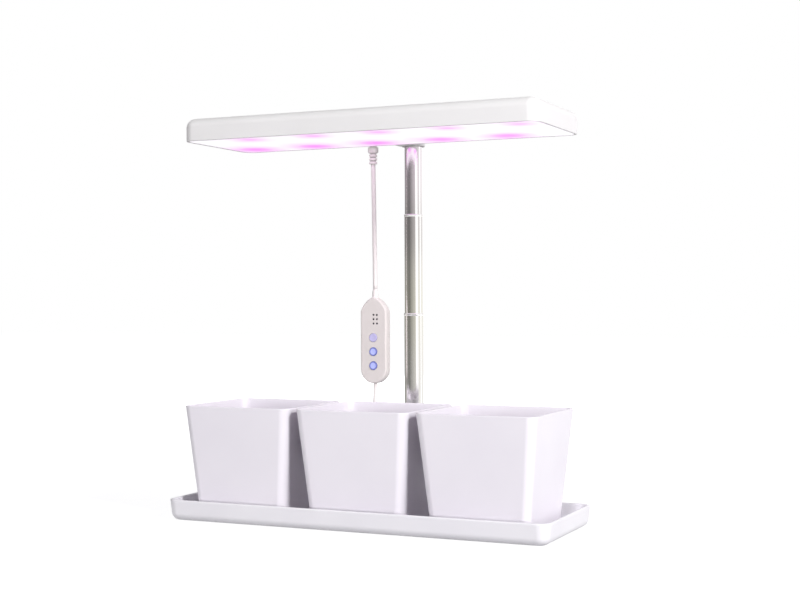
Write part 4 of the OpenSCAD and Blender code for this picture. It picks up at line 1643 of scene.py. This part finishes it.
@dataclass
class LampHead:
    """The flat lamp: its casing with the pole's socket, and the opal panel."""

    depth: float = 0.12
    corner: float = 0.011
    fillet: float = 0.009
    edge: float = 0.0006
    wall: float = 0.0022
    recess: float = 0.0025
    ledge: float = 0.0016
    cavity_top: float = 0.0198
    pole: Step = (0.0, 0.089)
    socket: Step = (0.0117, 0.0156)
    socket_bore: Step = (0.0087, 0.013)
    set_screw: float = 0.002
    relief: Step = (-0.0384, 0.077)
    relief_boss: Step = (0.0076, 0.011)
    relief_bore: Step = (0.0037, 0.008)
    boss_edge: float = 0.0004
    block_lift: float = 0.0002
    foot_round: float = 0.0002
    post: float = 0.004
    post_drop: float = 0.006
    post_hole: float = 0.0015
    post_inset: float = 0.015
    post_sink: float = 0.001
    hole_drop: float = 0.0008
    shade_reach: float = 0.02
    shade_from: float = 0.068
    panel_round: float = 0.0003
    grow_pitch: float = 0.0675
    led: float = 0.005
    front_spots: Point = (0.003, 0.0165, 0.75)
    back_spots: Point = (-0.005, 0.024, 1.0)

    def shell(self, low: Vector, high: Vector) -> Object:
        """Models the casing without its bosses, from its lower edge up and then inside.

        Args:
            low: The casing's lowest corner.
            high: Its highest corner.

        Returns:
            The casing.
        """
        foot, height = low.z, high.z - low.z
        casing = rounded_plate("lamp_moulding", high.x - low.x, self.depth, self.corner,
                               (0, low.y + self.depth / 2, foot + self.edge), 12)
        with editing(casing):
            extrude((0, 0, height - self.fillet - self.edge))
            inset_steps(arc_steps(self.fillet, 90, 10))
            lid(casing, level(foot + self.edge))
            inset_steps([*arc_steps(self.edge, 90, 3), (self.wall - self.edge, 0.0),
                         (0.0, -self.recess), (self.ledge, 0.0),
                         (0.0, self.recess - self.cavity_top)])
            round_edges(casing, rim(foot), self.foot_round, 2)
        return casing

    def boss(self, at: Step, foot: float, size: Step, back: float) -> Object:
        """Makes a round boss behind the lamp and the block that ties it to the lamp's back.

        Args:
            at: The boss's middle.
            foot: The height of its underside.
            size: Its radius and height.
            back: Where the lamp's back wall starts.

        Returns:
            The boss.
        """
        (radius, height), edge = size, self.boss_edge
        profile = [(0, 0), (radius - edge, 0), (radius, edge), (radius, height - SOFT),
                   *soft_top(radius, height)]
        boss = turned("boss", profile, (*at, foot))
        block = rounded_block("block", (at[0] - radius, back, foot + self.block_lift),
                              (at[0] + radius, at[1], foot + height), edge, edge)
        cut(boss, block, Cut.TOGETHER)
        return boss

    def add_posts(self, casing: Object, ceiling: float) -> None:
        """Adds the posts that the LED board's screws go into.

        Args:
            casing: The casing.
            ceiling: The height of the cavity's top.
        """
        low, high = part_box("board_screws")
        screw = (high.y - low.y - 2 * (self.depth / 2 - self.wall - self.post_inset)) / 2
        spots = [(x, y, ceiling + (self.post_sink - self.post_drop) / 2)
                 for x in (low.x + screw, 0, high.x - screw)
                 for y in (low.y + screw, high.y - screw)]
        cut(casing, rod(self.post, self.post_drop + self.post_sink), Cut.TOGETHER, spots)
        cut(casing, rod(self.post_hole, self.post_drop), Cut.AWAY,
            [(x, y, z - self.hole_drop) for x, y, z in spots])

    def build(self) -> None:
        """Models the casing and the panel."""
        low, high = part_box("lamp_casing")
        foot = low.z
        casing = self.shell(low, high)
        back = low.y + self.depth - self.wall
        for at, size in ((self.pole, self.socket), (self.relief, self.relief_boss)):
            cut(casing, self.boss(at, foot, size, back), Cut.TOGETHER)
        self.add_posts(casing, foot + self.cavity_top)
        for at, (radius, deep) in ((self.pole, self.socket_bore), (self.relief, self.relief_bore)):
            cut(casing, rod(radius, deep + PAST), Cut.AWAY, [(*at, foot + (deep - PAST) / 2)])
        x, y = self.pole
        cut(casing, rod(self.set_screw, 2 * PAST, axis=1), Cut.AWAY,
            [(x, y + PAST, foot + self.socket_bore[1] / 2)])
        complete(casing, LAMP_PLASTIC, Body.LAMP, "lamp_plastic", "lamp_casing")
        self.paint_socket_shade(casing, foot)
        self.panel()

    def paint_socket_shade(self, casing: Object, foot: float) -> None:
        """Paints shade on the socket's underside: a dark grey finish that stands in for the shadow
        that it lies in.

        Args:
            casing: The dressed casing.
            foot: The height of its underside.
        """
        middle = Vector(self.pole)
        SOCKET_SHADE.paint(casing, lambda face: (
            (level(foot)(face) or level(foot + self.block_lift)(face))
            and (face.calc_center_median().xy - middle).length < self.shade_reach
            and all(vert.co.y > self.shade_from for vert in face.verts)))

    def panel(self) -> None:
        """Models the opal panel that shines."""
        low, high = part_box("lamp_diffuser")
        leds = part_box("grow_leds")
        half, reach = self.led / 2, SPOTS_EACH_WAY * self.grow_pitch
        panel = rounded_block("lamp_opal_panel", low, high, self.corner - self.wall,
                              self.panel_round)
        front, back = self.front_spots, self.back_spots
        rows = ((leds[1].x - half - reach, leds[0].y + half + front[0], *front[1:]),
                (leds[0].x + half + reach, leds[1].y - half + back[0], *back[1:]))
        glow = Glow("opal_glow", (0.93, 0.90, 0.94), (0.90, 0.87, 0.92), 0.45,
                    pitch=self.grow_pitch, rows=rows)
        complete(panel, glow, Body.LAMP, "opal", "lamp_diffuser")


@dataclass
class Controller:
    """The button controller that hangs on the lamp's cord.

    Attributes:
        shoulder: The height at which the pointed top starts.
        ogive_radius: The radius of the arcs that form the pointed top.
        ogive_shift: How far their middles lie beyond the controller's own.
        edge: The radius round each face.
        wall: The housing's wall.
        groove: The depth of the seam's groove.
        gap: The clearance round a button.
        button_out: How far a button stands out.
        flange: How wide and how thick a button's flange is.
        light: The radius of a light's lens and of its hole.
        post: The radius of a screw's post.
        screw_hole: The radius of a screw's hole.
        head_depth: How deep a screw's head lies.
        foot_steps: How many edges the round foot of the outline has.
        side_steps: How many edges each side of the pointed top has.
    """

    shoulder: float = 0.0715
    ogive_radius: float = 0.024
    ogive_shift: float = 0.0086
    edge: float = 0.0016
    wall: float = 0.0014
    groove: float = 0.0003
    gap: float = 0.0002
    button_out: float = 0.0005
    flange: Step = (0.0009, 0.001)
    light: Step = (0.00095, 0.001)
    post: float = 0.0025
    screw_hole: float = 0.001
    head_depth: float = 0.001
    foot_steps: int = 28
    side_steps: int = 12

    def outline(self, y: float) -> list[Point]:
        """Works out the controller's outline, anticlockwise as seen from the front.

        Args:
            y: The outline's place along Y.

        Returns:
            The outline's points.
        """
        low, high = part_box("controller_front")
        radius, x = (high.x - low.x) / 2, (high.x + low.x) / 2
        shift, reach = self.ogive_shift, self.ogive_radius
        drop = math.sqrt(reach ** 2 - (radius + shift) ** 2)
        shoulder = low.z + self.shoulder
        turns = [math.pi * i / self.foot_steps for i in range(self.foot_steps + 1)]
        points = [(x - radius * math.cos(a), y, low.z + radius - radius * math.sin(a))
                  for a in turns]
        start, stop = math.asin(drop / reach), math.acos(shift / reach)
        turns = [start + (stop - start) * i / self.side_steps
                 for i in range(self.side_steps + 1)]
        side = [(reach * math.cos(a) - shift, shoulder - drop + reach * math.sin(a)) for a in turns]
        points += [(x + dx, y, z) for dx, z in side]
        points += [(x - dx, y, z) for dx, z in reversed(side[:-1])]
        return points

    def half(self, name: str, seam: float, face: float) -> Object:
        """Models one half of the housing, hollow, with a fine groove along the seam.

        Args:
            name: The piece's name.
            seam: The seam's place along Y.
            face: The outer face's place along Y.

        Returns:
            The half.
        """
        side = math.copysign(1, face - seam)
        deep = abs(face - seam)
        start = seam + side * self.groove
        shell = drawn(name, self.outline(start))
        with editing(shell):
            bpy.ops.mesh.edge_face_add()
            extrude((0, side * (deep - self.groove - self.edge), 0))
            lid(shell, level(face - side * self.edge, 1))
            inset_steps(arc_steps(self.edge, 90, 5))
            lid(shell, level(start, 1))
            inset_steps([(self.groove, self.groove), (self.wall - self.groove, 0.0),
                         (0.0, self.wall - deep)])
        return shell

    def build(self) -> None:
        """Models the housing, the buttons and the lights."""
        low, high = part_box("controller_front")
        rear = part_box("controller_back")[1].y
        x, face, seam = (low.x + high.x) / 2, low.y, (low.y + rear) / 2
        front = self.half("controller_face", seam, face)
        back = self.half("controller_rear", seam, rear)
        low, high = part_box("controller_gland")
        length = 0.012
        for shell in (front, back):
            cut(shell, rod((high.x - low.x) / 2, length), Cut.AWAY,
                [(x, seam, low.z + length / 2)])
        names = ("upper", "middle", "lower")
        boxes = [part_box(f"button_{name}") for name in names]
        heights = [(low.z + high.z) / 2 for low, high in boxes]
        radius = (boxes[0][1].x - boxes[0][0].x) / 2 - self.flange[0]
        through = 0.008
        cut(front, rod(radius + self.gap, through, 1), Cut.AWAY, [(x, face, z) for z in heights])
        low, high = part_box("indicator_lights")
        lens, hole = self.light
        lights = [(across, face, low.z + lens + i * (high.z - low.z - 2 * lens) / 2)
                  for i in range(3) for across in (low.x + lens, high.x - lens)]
        cut(front, rod(hole, through, 1, 24), Cut.AWAY, lights)
        with editing(front):
            round_edges(front, lambda edge: rim(face, 1)(edge) and edge.calc_length() < 0.001,
                        self.gap, 2)
        self.rear_posts(back, x, seam, rear)
        CONTROL_PLASTIC.dress(front, back)
        for shell, node in ((front, "controller_front"), (back, "controller_back")):
            smooth(shell)
            fit(shell, Body.LAMP, "control_plastic", node)
        self.lenses(lights)
        for name, z in zip(names, heights):
            self.button(name, (x, face, z), radius)

    def rear_posts(self, back: Object, x: float, seam: float, rear: float) -> None:
        """Adds the screw posts inside the rear half and opens the screws' holes.

        Args:
            back: The rear half.
            x: The controller's middle.
            seam: The seam's place along Y.
            rear: The rear face's place along Y.
        """
        low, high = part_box("controller_screws")
        head = (high.x - low.x) / 2
        start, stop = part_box("controller_board")[1].y, rear - self.wall / 2
        post = rod(self.post, stop - start, 1, 32)
        for tool, y, how in ((post, (start + stop) / 2, Cut.TOGETHER),
                             (rod(self.screw_hole, 2 * PAST, 1, 24), seam, Cut.AWAY),
                             (rod(head, 2 * self.head_depth, 1, 32), rear, Cut.AWAY)):
            cut(back, tool, how, [(x, y, z) for z in (low.z + head, high.z - head)])

    def lenses(self, places: Sequence[Point]) -> None:
        """Turns the six small lenses.

        Args:
            places: The middle of each lens's face.
        """
        radius = self.light[0]
        profile = [(0, -0.0009), (radius, -0.0009), (radius, -0.0003),
                   (radius * 0.85, -0.00012), (radius * 0.5, 0.0), (0, 0.00005)]
        lenses = joined([turned("indicator_lenses", profile, place, (0, -1, 0), 24)
                         for place in places])
        smooth(lenses, 50)
        DARK_LENS.dress(lenses)
        fit(lenses, Body.LAMP, "dark_lens", "indicator_lights")

    def button(self, name: str, at: Point, radius: float) -> None:
        """Turns one button with its flange.

        Args:
            name: Which of the buttons it is.
            at: The middle of its hole.
            radius: Its radius.
        """
        out, seat = self.button_out, -self.wall
        width, thick = self.flange
        profile = [(0, seat - thick), (radius + width, seat - thick), (radius + width, seat),
                   (radius, seat), (radius, out - 0.0004), (radius - 0.0001, out - 0.0002),
                   (radius - 0.00035, out), (radius - 0.0009, out),
                   (radius - 0.0013, out - 0.00012), (radius * 0.4, out - 0.0002),
                   (0, out - 0.0002)]
        button = turned(f"{name}_button_cap", profile, at, (0, -1, 0), 48)
        finish, slot = BUTTON_PALE, "button_pale"
        if name != "upper":
            slot = "button_blue"
            finish = ButtonFinish(f"button_blue_{name}", (0.47, 0.52, 0.95), (0.44, 0.49, 0.92),
                                  0.35, radius=radius - 0.0012, middle=at)
        complete(button, finish, f"button_{name}", slot, f"button_{name}")


def dress_inner_pieces() -> None:
    """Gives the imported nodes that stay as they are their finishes."""
    for finish, names in (
        (BLACK_PLASTIC, ("pole_plug", "middle_glide", "upper_glide", "tact_switches")),
        (SCREW_STEEL, ("foot_screw", "board_screws", "socket_screw", "controller_screws")),
        (LED_BOARD, ("led_board",)),
        (WHITE_LED, ("white_leds",)),
        (GROW_LED, ("grow_leds",)),
        (CIRCUIT, ("controller_board",)),
    ):
        finish.dress(*(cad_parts[name] for name in names))


def main() -> None:
    """Builds the garden and the room round it."""
    logging.basicConfig(level=logging.INFO, format="%(name)s: %(message)s")
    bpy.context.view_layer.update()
    pots = [Pot(name) for name in ("pot_left", "pot_middle", "pot_right")]
    tubes = [Tube("lower_tube", Body.BASE), Tube("middle_tube", Body.POLE_MIDDLE),
             Tube("upper_tube", Body.LAMP, lip=False)]
    for maker in (Studio(), SupplyLead(), LampCord(), Tray(), *pots, *tubes, LampHead(),
                  Controller()):
        maker.build()
    dress_inner_pieces()


if __name__ == "__main__":
    main()
